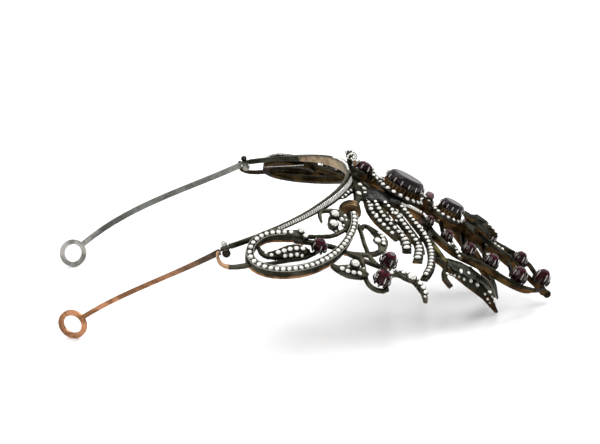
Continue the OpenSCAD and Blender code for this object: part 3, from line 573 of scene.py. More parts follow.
# %% Cut stones
def hull_mesh(name, points, seed=3, table_sparkle=0.9):
    work = bmesh.new()
    for p in points:
        work.verts.new(p)
    bmesh.ops.convex_hull(work, input=list(work.verts))
    bmesh.ops.delete(work, geom=[v for v in work.verts if not v.link_faces], context="VERTS")
    bmesh.ops.dissolve_limit(work, angle_limit=math.radians(1.0), verts=work.verts, edges=work.edges)
    bmesh.ops.recalc_face_normals(work, faces=work.faces)
    mesh = bpy.data.meshes.new(name)
    work.to_mesh(mesh)
    work.free()
    chance = np.random.default_rng(seed)
    fire = []
    for p in mesh.polygons:
        # Painted sparkle and reflection: facets that face up are painted brighter than the sides, and the
        # table gets its own painted brightness.
        low, high = (0.3, 1.0) if p.normal.z > 0.5 else (0.0, 0.35)
        fire.append(table_sparkle if p.normal.z > 0.97 else float(chance.uniform(low, high)))
    store(mesh, "fire", fire, domain="FACE")
    return mesh


def rings(rows, sides):
    """Rings of points: each row has a radius share, a height and a turn in half steps."""
    points = []
    for radius, height, half in rows:
        for k in range(sides):
            a = (k + half / 2) * 2 * math.pi / sides
            points.append((radius * math.cos(a), radius * math.sin(a), height))
    return points


def hidden(mesh):
    """A jewel that only the trees use: it is an object without a place in the scene."""
    return bpy.data.objects.new(mesh.name, mesh)


SMALL_CUT = [(0.45, 0.0, 0), (0.51, 0.14, 1), (0.41, 0.33, 0), (0.19, 0.45, 1)]
small_stone = hidden(hull_mesh("small_stone", rings(SMALL_CUT, 8)))
LARGE_CUT = [(0.46, 0.0, 0), (0.5, 0.10, 0), (0.5, 0.15, 1), (0.43, 0.27, 0), (0.33, 0.36, 1),
             (0.24, 0.41, 0)]
large_stone = hidden(hull_mesh("large_stone", rings(LARGE_CUT, 12)))
block_points = [(x * s, y * t, z) for s, t, z in ((0.5, 0.5, 0.0), (0.5, 0.5, 0.18), (0.34, 0.38, 0.34))
                for x in (-1, 1) for y in (-1, 1)]
block_stone = hidden(hull_mesh("block_stone", block_points))
print("facets of the small cut", len(small_stone.data.polygons))

# %% [markdown]
# ## Cast forms
# The solids have the right shape but flat facets and knife edges, which no worn silver has. A
# copy of each is remeshed on a fine grid and relaxed a little, which rounds every edge and lets
# soldered joints flow together. Then each point learns how deep it lies below the face next to
# it, for the gold.

# %% Remeshed copies of the metal
WELD = 0.002 * MM


def merged(node):
    """A node's mesh without doubled points, to work on."""
    work = bmesh.new()
    work.from_mesh(nodes[node].data)
    bmesh.ops.remove_doubles(work, verts=work.verts, dist=WELD)
    return work


def merged_copy(node, name):
    work = merged(node)
    mesh = bpy.data.meshes.new(name)
    work.to_mesh(mesh)
    work.free()
    mesh.materials.clear()
    return link_new(name, mesh)


def applied(obj, *modifiers):
    """Adds modifiers given as (kind, settings), applies them, and keeps the plain mesh."""
    for kind, settings in modifiers:
        mod = obj.modifiers.new(kind.lower(), kind)
        for key, value in settings.items():
            setattr(mod, key, value)
    graph = bpy.context.evaluated_depsgraph_get()
    mesh = bpy.data.meshes.new_from_object(obj.evaluated_get(graph), depsgraph=graph)
    obj.modifiers.clear()
    obj.data = mesh
    return obj


def remeshed(node, name, voxel):
    """A copy of a solid, remeshed on a grid of so many millimetres and relaxed."""
    obj = merged_copy(node, name)
    applied(obj, ("REMESH", {"mode": "VOXEL", "voxel_size": voxel * MM, "adaptivity": 0.0}),
            ("SMOOTH", {"factor": 0.5, "iterations": 2}))
    shade_smooth(obj)
    return obj


HOOK_END = -23.0
HOOK_TOP = 46
GILT_CELL = 1.2
EMPTY = -99.0


def gilt_ends(points):
    """The wire hooks at the temples are gold all round."""
    behind = np.clip((HOOK_END - points[:, 0] / MM) / 1.5, 0, 1)
    return behind * np.clip(HOOK_TOP - points[:, 2] / MM, 0, 1) * 0.9


def per_vertex(mesh, what):
    """The places or the normals of a mesh's vertices, as rows."""
    flat = np.empty(len(mesh.vertices) * 3)
    mesh.vertices.foreach_get(what, flat)
    return flat.reshape(-1, 3)


def gilt_layer(mesh, silver_depth, gold_depth):
    """Stores how far below its neighbours' tops, and how far to the back, each point lies."""
    co = per_vertex(mesh, "co")
    turn, way, lift = front_numbers(co)
    column = ((turn * 100) // GILT_CELL).astype(int)
    row = (way // GILT_CELL).astype(int)
    column -= column.min() - 1
    row -= row.min() - 1
    top = np.full((column.max() + 2, row.max() + 2), EMPTY)
    np.maximum.at(top, (column, row), lift)
    around = np.max([np.roll(np.roll(top, i, 0), j, 1) for i in (-1, 0, 1) for j in (-1, 0, 1)], axis=0)
    depth = around[column, row] - lift
    facing = (per_vertex(mesh, "normal") * face_at(co)).sum(1)
    share = np.clip((depth - silver_depth) / (gold_depth - silver_depth), 0, 1)
    share = share * np.clip((0.55 - facing) / 0.35, 0, 1)
    share = np.maximum(share, np.clip((-facing - 0.2) / 0.4, 0, 1))
    share = np.maximum(share, gilt_ends(co))
    # Low on the front, what stands well off the face is silver
    share = np.where((way < 4) & (lift > 2.5), 0, share)
    store(mesh, "gilt", share)
    # The hooks' share stored again as bright: a painted highlight that lightens their gold.
    store(mesh, "bright", gilt_ends(co))


def cast(node, name, finish, voxel, silver_depth, gold_depth):
    obj = remeshed(node, name, voxel)
    gilt_layer(obj.data, silver_depth, gold_depth)
    obj.data.materials.append(finish)
    print(name, "triangles", triangles(obj))
    return obj


crest_cast = cast("crest", "crest_cast", SILVER, 0.44, 0.5, 1.3)
scroll_casts = {side: cast("side_scroll_" + side, "side_scroll_cast_" + side, finish, 0.30, 1.9, 3.4)
                for side, finish in (("near", NEAR_SCROLL_BOUNCE_LIT), ("far", FAR_SCROLL_SHADED))}
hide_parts("crest")
for side, obj in scroll_casts.items():
    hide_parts("side_scroll_" + side)
for obj in (crest_cast, *scroll_casts.values()):
    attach(obj, BODY)

# %% [markdown]
# ## Diamonds in their collets
# The model holds each diamond of the scrolls, leaves and feathers as a small stepped solid. Its
# widest ring gives the diameter, its thin direction gives the way it faces, and its neighbours
# give the direction of the row. So the cut stones that replace them sit exactly where the
# solids sit, each in a dark collet, with wires and beads along the row.

# %% Seats read from the solids
def loose_solids(node):
    """The point sets of the separate solids in a node, in their own order."""
    work = merged(node)
    work.verts.ensure_lookup_table()
    seen, found = set(), []
    for first in work.verts:
        if first in seen:
            continue
        seen.add(first)
        queue, group = [first], []
        while queue:
            v = queue.pop()
            group.append(v.co[:])
            for e in v.link_edges:
                other = e.other_vert(v)
                if other not in seen:
                    seen.add(other)
                    queue.append(other)
        found.append(np.array(group))
    work.free()
    return found


def flattest_way(node):
    """The direction across a cut stone's largest flat facets, its table and its base."""
    mesh = nodes[node].data
    normals = np.array([p.normal[:] for p in mesh.polygons])
    areas = np.array([p.area for p in mesh.polygons])
    alike = np.abs(normals @ normals.T) > 0.9995
    return normals[np.argmax(alike @ areas)]


def stone_seat(points):
    """Seat point, outward direction and diameter in millimetres of a stepped stone."""
    middle = points.mean(0)
    rest = points - middle
    normal = np.linalg.svd(rest, full_matrices=False)[2][2]
    height = rest @ normal
    radius = np.linalg.norm(rest - np.outer(height, normal), axis=1)
    wide = radius > radius.max() * 0.85
    if height[wide].mean() > height[~wide].mean():
        normal, height = -normal, -height
    return middle + normal * height.min(), normal, 2 * radius.max() / MM


NEIGHBOUR = 4.2
ALIKE = 0.3


def rows_of(node):
    """The node's stones as rows: lists of (point, up, diameter) whose neighbours lie close."""
    seats = [stone_seat(p) for p in loose_solids(node)]
    rows = [[seats[0]]]
    for seat in seats[1:]:
        last = rows[-1][-1]
        if np.linalg.norm(seat[0] - last[0]) < NEIGHBOUR * MM and abs(seat[2] - last[2]) < ALIKE:
            rows[-1].append(seat)
        else:
            rows.append([seat])
    return rows


def with_direction(row):
    """Adds the direction of the row to each of its seats."""
    made = []
    for k, (point, up, size) in enumerate(row):
        along = row[min(k + 1, len(row) - 1)][0] - row[max(k - 1, 0)][0]
        if np.linalg.norm(along) < 1e-9:
            along = np.cross(up, (0.3, 0.8, 0.1))
        along = along - up * (along @ up)
        made.append((point, up, along / np.linalg.norm(along), size))
    return made


diamond_nodes = [n for n in nodes if "diamonds" in n]
diamond_rows = {n: [with_direction(r) for r in rows_of(n)] for n in diamond_nodes}
for n, rows in diamond_rows.items():
    print(n, "rows", [len(r) for r in rows], "first size", round(rows[0][0][3], 2))

# %% [markdown]
# ## From the picture to the metal
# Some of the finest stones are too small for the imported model. Each is read off the photograph
# as a place in its 600 by 444 frame, and a ray from the camera through that place finds the
# metal which carries it, so the stone sits on its bar from any side. The far side is the mirror
# image of the near side.

# %% Seats read from the picture
FRAME_WIDE, FRAME_HIGH = 600, 444
SENSOR_MM = 36
FOCAL = LENS / SENSOR_MM * FRAME_WIDE
VIEW = np.array((-back).to_track_quat("-Z", "Y").to_matrix())
EYE = np.array(camera.location)


def tree_of(objects):
    points, faces = [], []
    for obj in objects:
        first = len(points)
        points += [v.co[:] for v in obj.data.vertices]
        faces += [[first + i for i in p.vertices] for p in obj.data.polygons]
    return BVHTree.FromPolygons(points, faces)


metal_tree = tree_of([crest_cast, scroll_casts["near"]])
RAY_STEP = 0.0005
SINK = 0.25


def ray_to(x, y):
    aim = VIEW @ np.array([x - FRAME_WIDE / 2, FRAME_HIGH / 2 - y, -FOCAL])
    return aim / np.linalg.norm(aim)


def met(x, y, tree=None):
    """What the ray through a place in the picture meets first: its point and its normal, or None."""
    return (tree or metal_tree).ray_cast(Vector(EYE), Vector(ray_to(x, y)))[:2]


def on_face(x, y, lift):
    """Where the ray through a place in the picture meets the front, lifted by millimetres."""
    aim = ray_to(x, y)
    steps = np.arange(1.02, 1.26, RAY_STEP)
    lifts = front_numbers(EYE + steps[:, None] * aim)[2] - lift
    hit = np.argmax((lifts[:-1] > 0) & (lifts[1:] <= 0))
    share = lifts[hit] / (lifts[hit] - lifts[hit + 1])
    return EYE + (steps[hit] + share * RAY_STEP) * aim


def on_metal(x, y, lift=1.5):
    """The metal behind a place in the picture, or the front itself where there is a gap."""
    hit = met(x, y)[0]
    return np.array(hit) if hit else on_face(x, y, lift)


def mirror_point(p):
    worn = LIE_ARRAY.T @ (np.asarray(p) / MM - LAID_AT)
    return laid(worn * np.array([1, -1, 1]))


def mirror_way(d):
    return LIE_ARRAY @ ((LIE_ARRAY.T @ np.asarray(d)) * np.array([1, -1, 1]))


def both_sides(seats):
    """The same seats again on the far side."""
    return seats + [(mirror_point(p), mirror_way(u), mirror_way(a), s) for p, u, a, s in seats]


def way_out(x, y, spot):
    """The metal's own direction outward, or the front's where the ray meets a steep wall."""
    front = face_at([spot])[0]
    normal = met(x, y)[1]
    if normal is None or np.array(normal) @ front < 0.25:
        return front
    mixed = front + 1.5 * np.array(normal)
    return mixed / np.linalg.norm(mixed)


def picture_row(places, mirrored=True):
    """Seats for a row of (x, y, size in millimetres) on the metal."""
    spots = [on_metal(x, y) for x, y, size in places]
    seats = []
    for k, (spot, (x, y, size)) in enumerate(zip(spots, places)):
        up = way_out(x, y, spot)
        along = spots[min(k + 1, len(spots) - 1)] - spots[max(k - 1, 0)]
        if np.linalg.norm(along) < 1e-6:
            along = np.array([0.9, 0.1, -0.4])
        along = along - up * (along @ up)
        seats.append((spot - up * SINK * MM, up, along / np.linalg.norm(along), size))
    return both_sides(seats) if mirrored else seats


# %% [markdown]
# ## Collets and prongs
# Every small diamond sits in a dark ring of silver, and in the channels a dark prong stands
# between one stone and the next, so that a row reads as white discs on a black comb. Thin light
# edges, rubbed silver with a painted highlight, run along both sides of a channel.

# %% Setting shapes
def turned(name, profile, sides):
    """A closed ring turned from a profile of (radius, height)."""
    points, faces = [], []
    n = len(profile)
    for k in range(sides):
        a = 2 * math.pi * k / sides
        points += [(r * math.cos(a), r * math.sin(a), h) for r, h in profile]
    for k in range(sides):
        for i in range(n):
            j, m = (i + 1) % n, (k + 1) % sides
            faces.append((k * n + i, m * n + i, m * n + j, k * n + j))
    mesh = bpy.data.meshes.new(name)
    mesh.from_pydata(points, [], faces)
    work = bmesh.new()
    work.from_mesh(mesh)
    bmesh.ops.recalc_face_normals(work, faces=work.faces)
    work.to_mesh(mesh)
    work.free()
    return mesh


COLLET_PROFILE = [(0.42, -0.06), (0.60, -0.06), (0.61, 0.17), (0.555, 0.235), (0.47, 0.17)]
collet_ring = hidden(turned("collet_ring", COLLET_PROFILE, 10))
PRONG = [(x * s, y * s, z) for s, z in ((1.0, -0.1), (0.75, 0.26))
         for x in (-0.11, 0.11) for y in (-0.46, 0.46)]
prong_bar = hidden(hull_mesh("prong_bar", PRONG))


def between(row):
    """Seats halfway between neighbours of a row."""
    made = []
    for (p, u, a, s), (q, v, b, t) in zip(row[:-1], row[1:]):
        made.append(((p + q) / 2, (u + v) / np.linalg.norm(u + v), a, (s + t) / 2))
    return made


def edge_lines(row, out=0.62, height=0.2):
    """The two lines along a row, outside its stones."""
    lines = []
    for side in (-1, 1):
        line = []
        for p, u, a, s in row:
            across = np.cross(u, a)
            line.append(p + (across * side * out + u * height) * s * MM)
        lines.append(line)
    return lines


def smooth_line(points):
    """Chaikin's corner cutting, which keeps the ends."""
    line = [np.asarray(p, float) for p in points]
    for k in range(2):
        cut = [line[0]]
        for p, q in zip(line[:-1], line[1:]):
            cut += [p * 0.75 + q * 0.25, p * 0.25 + q * 0.75]
        line = cut + [line[-1]]
    return line


def dress(piece, finish_slot, *replaced):
    """Puts a finished piece on the object and hides the solids it stands for."""
    if replaced:
        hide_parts(*replaced)
    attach(piece, BODY)
    return piece


# %% [markdown]
# The stones of a channel are nearly alike and stand on a comb of prongs between two light edges of rubbed
# silver and painted highlight.
# The stones of the feathers differ more, and three of the four feathers end in a few wide ribs.

# %% Diamonds of the scrolls, leaves and feathers
def varied(seats, seed, low, high):
    chance = np.random.default_rng(seed)
    return [(p, u, a, s * chance.uniform(low, high)) for p, u, a, s in seats]


WIDE_ENDS = {1: (3, 1.7), 2: (4, 1.7), 3: (9, 1.25)}


def wide_end(row, count, across):
    """The last stones of a feather are ribs as wide as its end."""
    last = row[-count:]
    wide = [(p, u, a, np.array((s * 0.86, s * across * 0.86, s * 1.1))) for p, u, a, s in last]
    return row[:-count], wide, edge_lines([(p, u, a, s * across) for p, u, a, s in last], 0.50, 0.10)


for n, rows in diamond_rows.items():
    stones, ribs, rings_at, prongs_at, rims, dark_rims = [], [], [], [], [], []
    for k, row in enumerate(rows):
        if n.startswith("feather") and k in WIDE_ENDS:
            row, wide, sides = wide_end(row, *WIDE_ENDS[k])
            ribs += wide
            prongs_at += between(wide)
            dark_rims += sides
        if len(row) > 20:
            stones += varied(row, 5, 0.84, 0.95)
            prongs_at += between(row)
            rims += edge_lines(row)
        elif n.startswith("feather"):
            seats = varied(row, 7 + k, 0.78, 1.0)
            stones += seats
            rings_at += seats
        else:
            stones += row
            rings_at += row
    made = [set_jewels(n + "_round", stones, small_stone, DIAMOND, FULL_TURN, 3)]
    if ribs:
        made.append(set_jewels(n + "_ribs", ribs, small_stone, DIAMOND))
    dress(join(n + "_cut", made), "diamond", n)
    metal = []
    if rings_at:
        metal.append(set_jewels(n + "_rings", rings_at, collet_ring, COLLET))
    if prongs_at:
        metal.append(set_jewels(n + "_prongs", prongs_at, prong_bar, COLLET))
    if rims:
        # The rims are light grey: partly rubbed wear, partly a painted highlight.
        metal.append(wires(n + "_rims", [smooth_line(r) for r in rims], 0.19, RUBBED_HIGHLIGHT, sides=5))
    if dark_rims:
        metal.append(wires(n + "_dark_rims", [smooth_line(r) for r in dark_rims], 0.30, COLLET, sides=5))
    dress(join(n + "_settings", metal), "dark_silver")
    print(n, "stones", len(stones) + len(ribs))

# %% [markdown]
# ## Garnets and their claws
# The garnets are the largest and deepest colour on the piece. Each keeps the outline and height
# of its solid, with more facets, and gets claws: thin silver wires that rise from the mount and
# bend over the crown. Most are painted near white, a painted highlight for the white strokes of
# light they catch on the wine red.

# %% Garnets
def stone_axes(node):
    """Middle, outward, long and wide directions of a garnet's solid, with its three sizes."""
    points = vertices(node)
    middle = points.mean(0)
    normal = flattest_way(node)
    normal = normal * math.copysign(1, normal @ face_at([middle])[0])
    long = LIE_ARRAY @ np.cross((0, 1.0, 0), LIE_ARRAY.T @ normal)
    long /= np.linalg.norm(long)
    across = np.cross(normal, long)
    size = [np.ptp(points @ d) for d in (long, across, normal)]
    spot = middle.copy()
    for d in (long, across):
        spot += d * ((points @ d).max() / 2 + (points @ d).min() / 2 - spot @ d)
    spot += normal * ((points @ normal).min() - spot @ normal)
    return spot, normal, long, across, size


def way_round(stone, angle, out=0.0):
    """From a stone's middle to a place on its girdle, or so many millimetres outside it."""
    spot, up, long, across, size = stone
    return (long * math.cos(angle) * (size[0] / 2 + out * MM)
            + across * math.sin(angle) * (size[1] / 2 + out * MM))


def garnet(node, cut, claws, claw_radius, claw_metal, finish, reach=(0.25, 0.78, 0.93)):
    """A cut stone and its claws; reach is the claws' foot and top as shares of the height, and their end."""
    stone = stone_axes(node)
    spot, up, long, across, size = stone
    cut_stone = set_jewels(node + "_cut", [(spot, up, long, tuple(s / MM for s in size))], cut, finish)
    dress(cut_stone, "pink_garnet" if finish is PINK else "garnet", node)
    lines = []
    for k in range(claws):
        way = way_round(stone, (k + 0.5) * 2 * math.pi / claws)
        lines.append([spot + way * 1.05 + up * size[2] * reach[0],
                      spot + way * 1.04 + up * size[2] * (reach[0] + reach[1]) / 2,
                      spot + way * reach[2] + up * size[2] * reach[1]])
    claw = wires(node + "_claws", lines, claw_radius, claw_metal, thick=[[0.7, 1.1, 0.8]] * claws)
    dress(claw, "screw_silver")
    return stone


BERRY_RINGS = [(0.95, 0.0, 0), (1.0, 0.22, 0), (1.0, 0.34, 1), (0.88, 0.62, 0), (0.66, 0.87, 1),
               (0.40, 1.0, 0)]
OVAL_RINGS = [(0.95, 0.0, 0), (1.0, 0.22, 0), (1.0, 0.40, 1), (0.95, 0.66, 0), (0.86, 0.90, 1),
              (0.76, 1.0, 0)]


def crown(name, facet_rings, sides, seed, table_sparkle):
    rows = [(r / 2, h, half) for r, h, half in facet_rings]
    return hidden(hull_mesh(name, rings(rows, sides), seed, table_sparkle))


# The last number is the table's painted brightness, a painted reflection.
oval_cut = crown("oval_cut", OVAL_RINGS, 16, 5, 0.5)
berry_cut = crown("berry_cut", BERRY_RINGS, 9, 8, 0.2)
# The claws of the ovals, the oblong garnet and the berries are painted near white, a painted highlight.
large = garnet("large_oval_garnet", oval_cut, 16, 0.27, CLAW_HIGHLIGHT, OVAL, (0.12, 0.58, 1.0))
second = garnet("second_oval_garnet", oval_cut, 14, 0.23, CLAW_HIGHLIGHT, OVAL, (0.15, 0.62, 0.99))
garnet("oblong_garnet", berry_cut, 8, 0.27, CLAW_HIGHLIGHT, GARNET, (0.2, 0.8, 0.92))
# The end garnet's claws are light grey: partly rubbed wear, partly a painted highlight.
garnet("end_garnet", berry_cut, 4, 0.2, RUBBED_HIGHLIGHT, PINK)
CALYX_POINTS = 9


def calyx(node):
    """Dark points that stand round a berry like the crown of a fruit."""
    stone = stone_axes(node)
    spot, up, long, across, size = stone
    lines = []
    for k in range(CALYX_POINTS):
        way = way_round(stone, k * 2 * math.pi / CALYX_POINTS)
        lines.append([spot + way * 0.95 - up * 0.7 * MM, spot + way * 1.16 + up * size[2] * 0.10,
                      spot + way * 1.20 + up * size[2] * 0.42])
    points = wires(node + "_calyx", lines, 0.42, COLLET, thick=[[1.0, 0.9, 0.35]] * CALYX_POINTS)
    dress(points, "dark_silver")


berries = sorted(n for n in nodes if "berry" in n)
for n in berries:
    garnet(n, berry_cut, 5, 0.24, CLAW_HIGHLIGHT, GARNET)
    calyx(n)
spot, up, long, across, size = stone_axes("front_diamond")
front_size = (size[0] / MM, size[1] / MM, size[2] / LARGE_CUT[-1][1] / MM)
front = set_jewels("front_diamond_cut", [(spot, up, long, front_size)], large_stone, DIAMOND)
dress(front, "diamond", "front_diamond")
print("berries with claws and a calyx", len(berries))

# %% [markdown]
# Round each of the two ovals runs a rim of diamonds that lean outward, on a dark wire with a
# string of beads. Gold bars stand close together under the stone and carry it.

# %% Rims of diamonds round the two ovals
def oval_ring(stone, out, down, count):
    """Places round an oval stone, a given way outside it and below its base, in millimetres."""
    spot, up, long, across, size = stone
    made = []
    for k in range(count):
        a = 2 * math.pi * k / count
        along = across * math.cos(a) - long * math.sin(a)
        made.append((spot + way_round(stone, a, out) - up * down * MM, up, along))
    return made


def diamond_rim(name, stone, out, down, count, size):
    ring = oval_ring(stone, out, down, count)
    tipped = []
    for p, u, a in ring:
        r = p - stone[0]
        r = r - u * (r @ u)
        lean = u + 0.5 * r / np.linalg.norm(r)
        tipped.append((p, lean / np.linalg.norm(lean), a, size))
    dress(set_jewels(name + "_stones", tipped, small_stone, DIAMOND, FULL_TURN, 5), "diamond")
    closed = ring + ring[:1]
    under = [p - u * 0.5 * MM for p, u, a in closed]
    outside = [p + (p - stone[0]) * 0.07 - u * 0.6 * MM for p, u, a in closed]
    metal = [set_jewels(name + "_rings", tipped, collet_ring, COLLET),
             wires(name + "_band", [under], 1.05, COLLET, sides=8),
             beads(name + "_beads", [outside], 0.75, 0.27, SILVER)]
    dress(join(name + "_metal", metal), "dark_silver")


def gallery(name, stone, count, high):
    """Gold bars that stand under an oval stone and carry it."""
    top = oval_ring(stone, -0.1, 0.2, count)
    foot = oval_ring(stone, 0.15, high, count)
    bars = wires(name, [[p[0], q[0]] for p, q in zip(top, foot)], 0.28, GALLERY)
    dress(bars, "worn_gilt")


diamond_rim("large_rim", large, 1.5, 3.2, 20, 2.1)
diamond_rim("second_rim", second, 1.2, 2.6, 16, 1.7)
gallery("large_gallery", large, 30, 3.4)
gallery("second_gallery", second, 22, 2.8)

# %% [markdown]
# ## The band
# The bar that joins the temples carries one row of stones on its outward side. They start as
# small blocks behind the temple and grow into wide ribs at the front, between two beaded edges.
# Its inner side is gold and rubbed pink, the ends are dark.

# %% Band
band_cast = remeshed("band", "band_cast", 0.34)
GILT_TURN = 50.0


def band_gilt(mesh):
    share = []
    for v in mesh.vertices:
        turn = front_numbers([v.co[:]])[0][0]
        out = LIE_ARRAY @ outward(turn)
        inner = -np.array(v.normal[:]) @ out
        front = np.clip((GILT_TURN - abs(math.degrees(turn))) / 8, 0, 1)
        share.append(np.clip(inner * 1.6, 0, 1) * front)
    store(mesh, "gilt", share)


band_gilt(band_cast.data)
PINK_GOLD = old_metal("pink_gold", gold=(0.14, 0.09, 0.052), rose=(0.35, 0.25, 0.165), grazing=0.8)
band_cast.data.materials.append(PINK_GOLD)
dress(band_cast, "band_metal", "band")
print("band_cast triangles", triangles(band_cast))

# %% [markdown]
# The stones' width and the band's own half width are each given at a few turns round the band,
# in degrees, and read off between them.

# %% Stones of the band
BAND_OUT = 1.0
BAND_WIDTHS = [(4, 2.5), (24, 2.2), (34, 1.8), (44, 1.35), (52, 1.05)]
BAND_HALF = [(0, 2.1), (18, 2.05), (30, 1.85), (36, 1.68), (42, 1.3), (54, 1.14)]
STRIP_SHIFT = 0.30
BLOCK_PITCH = 1.2


def along_band(table, turn):
    return np.interp(turn, [t for t, v in table], [v for t, v in table])


def band_seat(turn, out, up):
    a = math.radians(turn)
    return laid((BAND_RADIUS + out) * outward(a) + np.array([-BAND_RADIUS, 0, -up]))


def band_ways(turn):
    a = math.radians(turn)
    return LIE_ARRAY @ outward(a), LIE_ARRAY @ np.array([-math.sin(a), math.cos(a), 0])


def band_blocks():
    seats = []
    turn = BAND_WIDTHS[-1][0]
    while turn > BAND_WIDTHS[0][0]:
        wide = along_band(BAND_WIDTHS, turn)
        out, along = band_ways(turn)
        spot = band_seat(turn, BAND_OUT, STRIP_SHIFT * along_band(BAND_HALF, turn))
        seats.append((spot, out, along, np.array((BLOCK_PITCH * 0.8, wide, 1.9))))
        turn -= math.degrees(BLOCK_PITCH / BAND_RADIUS)
    return seats


def comb(row):
    """Dark teeth between the blocks, longer than the blocks are wide."""
    return [(p, u, a, s * np.array((1.1, 1.75, 1.2))) for p, u, a, s in between(row)]


blocks = band_blocks()
dress(set_jewels("band_stones", both_sides(blocks), block_stone, DIAMOND), "diamond")
dress(set_jewels("band_comb", both_sides(comb(blocks)), prong_bar, COLLET), "dark_silver")
print("blocks on the band", len(blocks) * 2)

TOP_TURNS = (26, 3)
TOP_PITCH = 1.5
TOP_SEAT = (0.3, 1.95)
TOP_SIZE = 1.35
top_row = []
for turn in np.arange(TOP_TURNS[0], TOP_TURNS[1], -math.degrees(TOP_PITCH / BAND_RADIUS)):
    out, along = band_ways(turn)
    top_row.append((band_seat(turn, *TOP_SEAT), LIE_ARRAY @ np.array([0, 0, -1.0]), along, TOP_SIZE))
far_top = both_sides(top_row)[len(top_row):]
dress(set_jewels("band_top_stones", far_top, small_stone, DIAMOND, FULL_TURN, 6), "diamond")

# %% [markdown]
# ## Leaves and petals
# Between the bars lie thin leaves with a raised middle. Each is a few places along its spine,
# with its width there; the strip between them is rounded across, and thickened on the mesh.

# %% Leaf maker
def metal_lifts(places):
    """How far off the front the metal lies at each place, filled in across gaps."""
    hits = [met(p[0], p[1])[0] for p in places]
    known = [k for k, h in enumerate(hits) if h]
    lifts = [front_numbers([np.array(hits[k])])[2][0] for k in known]
    return np.interp(range(len(places)), known, lifts)


def strip_rows(spots, ways, widths, rise):
    """Cross rows of a leaf along its spine, with the way out, the width and the rise of the middle."""
    spine, outs = smooth_line(spots), smooth_line(ways)
    wide = smooth_line([np.array([w]) for w in widths])
    rows = []
    for k, p in enumerate(spine):
        up = outs[k] / np.linalg.norm(outs[k])
        along = spine[min(k + 1, len(spine) - 1)] - spine[max(k - 1, 0)]
        across = np.cross(up, along)
        across /= np.linalg.norm(across)
        rows.append([p + across * s * wide[k][0] / 2 * MM + up * rise * (1 - s * s) * MM
                     for s in (-1, -0.6, -0.25, 0, 0.25, 0.6, 1)])
    return rows


def leaf_rows(places, lift, rise):
    """Cross rows of a leaf: places are (x, y, width in mm) in the picture, a lift above the metal."""
    given = [p[3] for p in places if len(p) > 3]
    lifts = np.array(given) if given else metal_lifts(places) + lift
    spots = [on_face(p[0], p[1], h) for p, h in zip(places, lifts)]
    ways = [way_out(p[0], p[1], q) for p, q in zip(places, spots)]
    ways = [sum(ways[max(k - 1, 0):k + 2]) for k in range(len(ways))]
    return strip_rows(spots, ways, [p[2] for p in places], rise)


def bed_rows(places, rise):
    """Cross rows of a leaf given on the front: (turn, share of the rise, lift share, width in mm)."""
    seats = [front_frame(*p[:3]) for p in places]
    return strip_rows([s[0] for s in seats], [s[1] for s in seats], [p[3] for p in places], rise)


def wall_rows(places, deep):
    """Cross rows of a wall that hangs below a stem, given on the front."""
    seats = [front_frame(*p) for p in places]
    spine, outs = smooth_line([s[0] for s in seats]), smooth_line([s[1] for s in seats])
    last = len(spine) - 1
    rows = []
    for k, (p, w) in enumerate(zip(spine, outs)):
        down = w / np.linalg.norm(w) * deep * min(1, 0.35 + k / 5, 0.35 + (last - k) / 5) * MM
        rows.append([p - down * s for s in (0.15, 0.4, 0.7, 1.0)])
    return rows


def leaf_mesh(name, rows, thick, lobes=0, depth=0.0, offset=-1.0):
    """A closed sheet from cross rows, its edge cut into lobes."""
    count, wide = len(rows), len(rows[0])
    points, faces = [], []
    for k, row in enumerate(rows):
        swell = 1 - depth * abs(math.sin(math.pi * lobes * k / (count - 1))) if lobes else 1.0
        middle = row[wide // 2]
        points += [tuple(middle + (p - middle) * swell) for p in row]
    for k in range(count - 1):
        for i in range(wide - 1):
            faces.append((k * wide + i, k * wide + i + 1, (k + 1) * wide + i + 1, (k + 1) * wide + i))
    mesh = bpy.data.meshes.new(name)
    mesh.from_pydata(points, [], faces)
    obj = link_new(name, mesh)
    half = rows[count // 2]
    ridge = half[wide // 2] - (half[0] + half[-1]) / 2
    if sum(np.array(p.normal[:]) @ ridge for p in mesh.polygons) < 0:
        mesh.flip_normals()
    applied(obj, ("SOLIDIFY", {"thickness": thick * MM, "offset": offset}),
            ("SUBSURF", {"levels": 1, "render_levels": 1}))
    shade_smooth(obj)
    return obj


def painted(piece, finish):
    """Gives a leaf or a wall its one metal."""
    piece.data.materials.clear()
    piece.data.materials.append(finish)
    return dress(piece, "worn_gilt" if finish in (WALL, OLIVE_GOLD) else "dark_silver")


def strips(name, finish, parts, lobes=0, depth=0.0, thick=0.7, offset=-1.0):
    """Strips for both sides as one piece; each part is a list of cross rows."""
    made = []
    for k, rows in enumerate(parts):
        other = [[mirror_point(p) for p in row] for row in rows]
        made.append(leaf_mesh(name + str(k), rows, thick, lobes, depth, offset))
        made.append(leaf_mesh(name + "_far" + str(k), other, thick, lobes, depth, offset))
    return painted(join(name, made), finish)


# %% [markdown]
# Under the stems stand thin gilt walls that taper at their ends. Each row of numbers is a place
# on the front: the turn in degrees, the share of the rise and the share of the relief.

# %% Walls of the stems
MIDDLE_STEM = [(0, 0.34, 1.1), (0, 0.5, 1.15), (0, 0.65, 1.1), (0, 0.78, 0.7), (0, 0.9, -0.2)]
SIDE_STEM = [(5.8, 0.375, 0.5), (10.4, 0.428, 0.6), (12.2, 0.492, 0.55), (12.7, 0.558, 0.45),
             (11.4, 0.636, 0.4), (10.7, 0.706, 0.4), (11, 0.768, 0.35), (10.4, 0.850, 0.3),
             (7.6, 0.925, 0.1)]
painted(leaf_mesh("middle_wall", wall_rows(MIDDLE_STEM, 4.4), 1.8, offset=0.0), WALL)
strips("side_walls", WALL, [wall_rows(SIDE_STEM, 3.6)], thick=1.5, offset=0.0)
print("walls below", len(MIDDLE_STEM), "and", len(SIDE_STEM), "places")

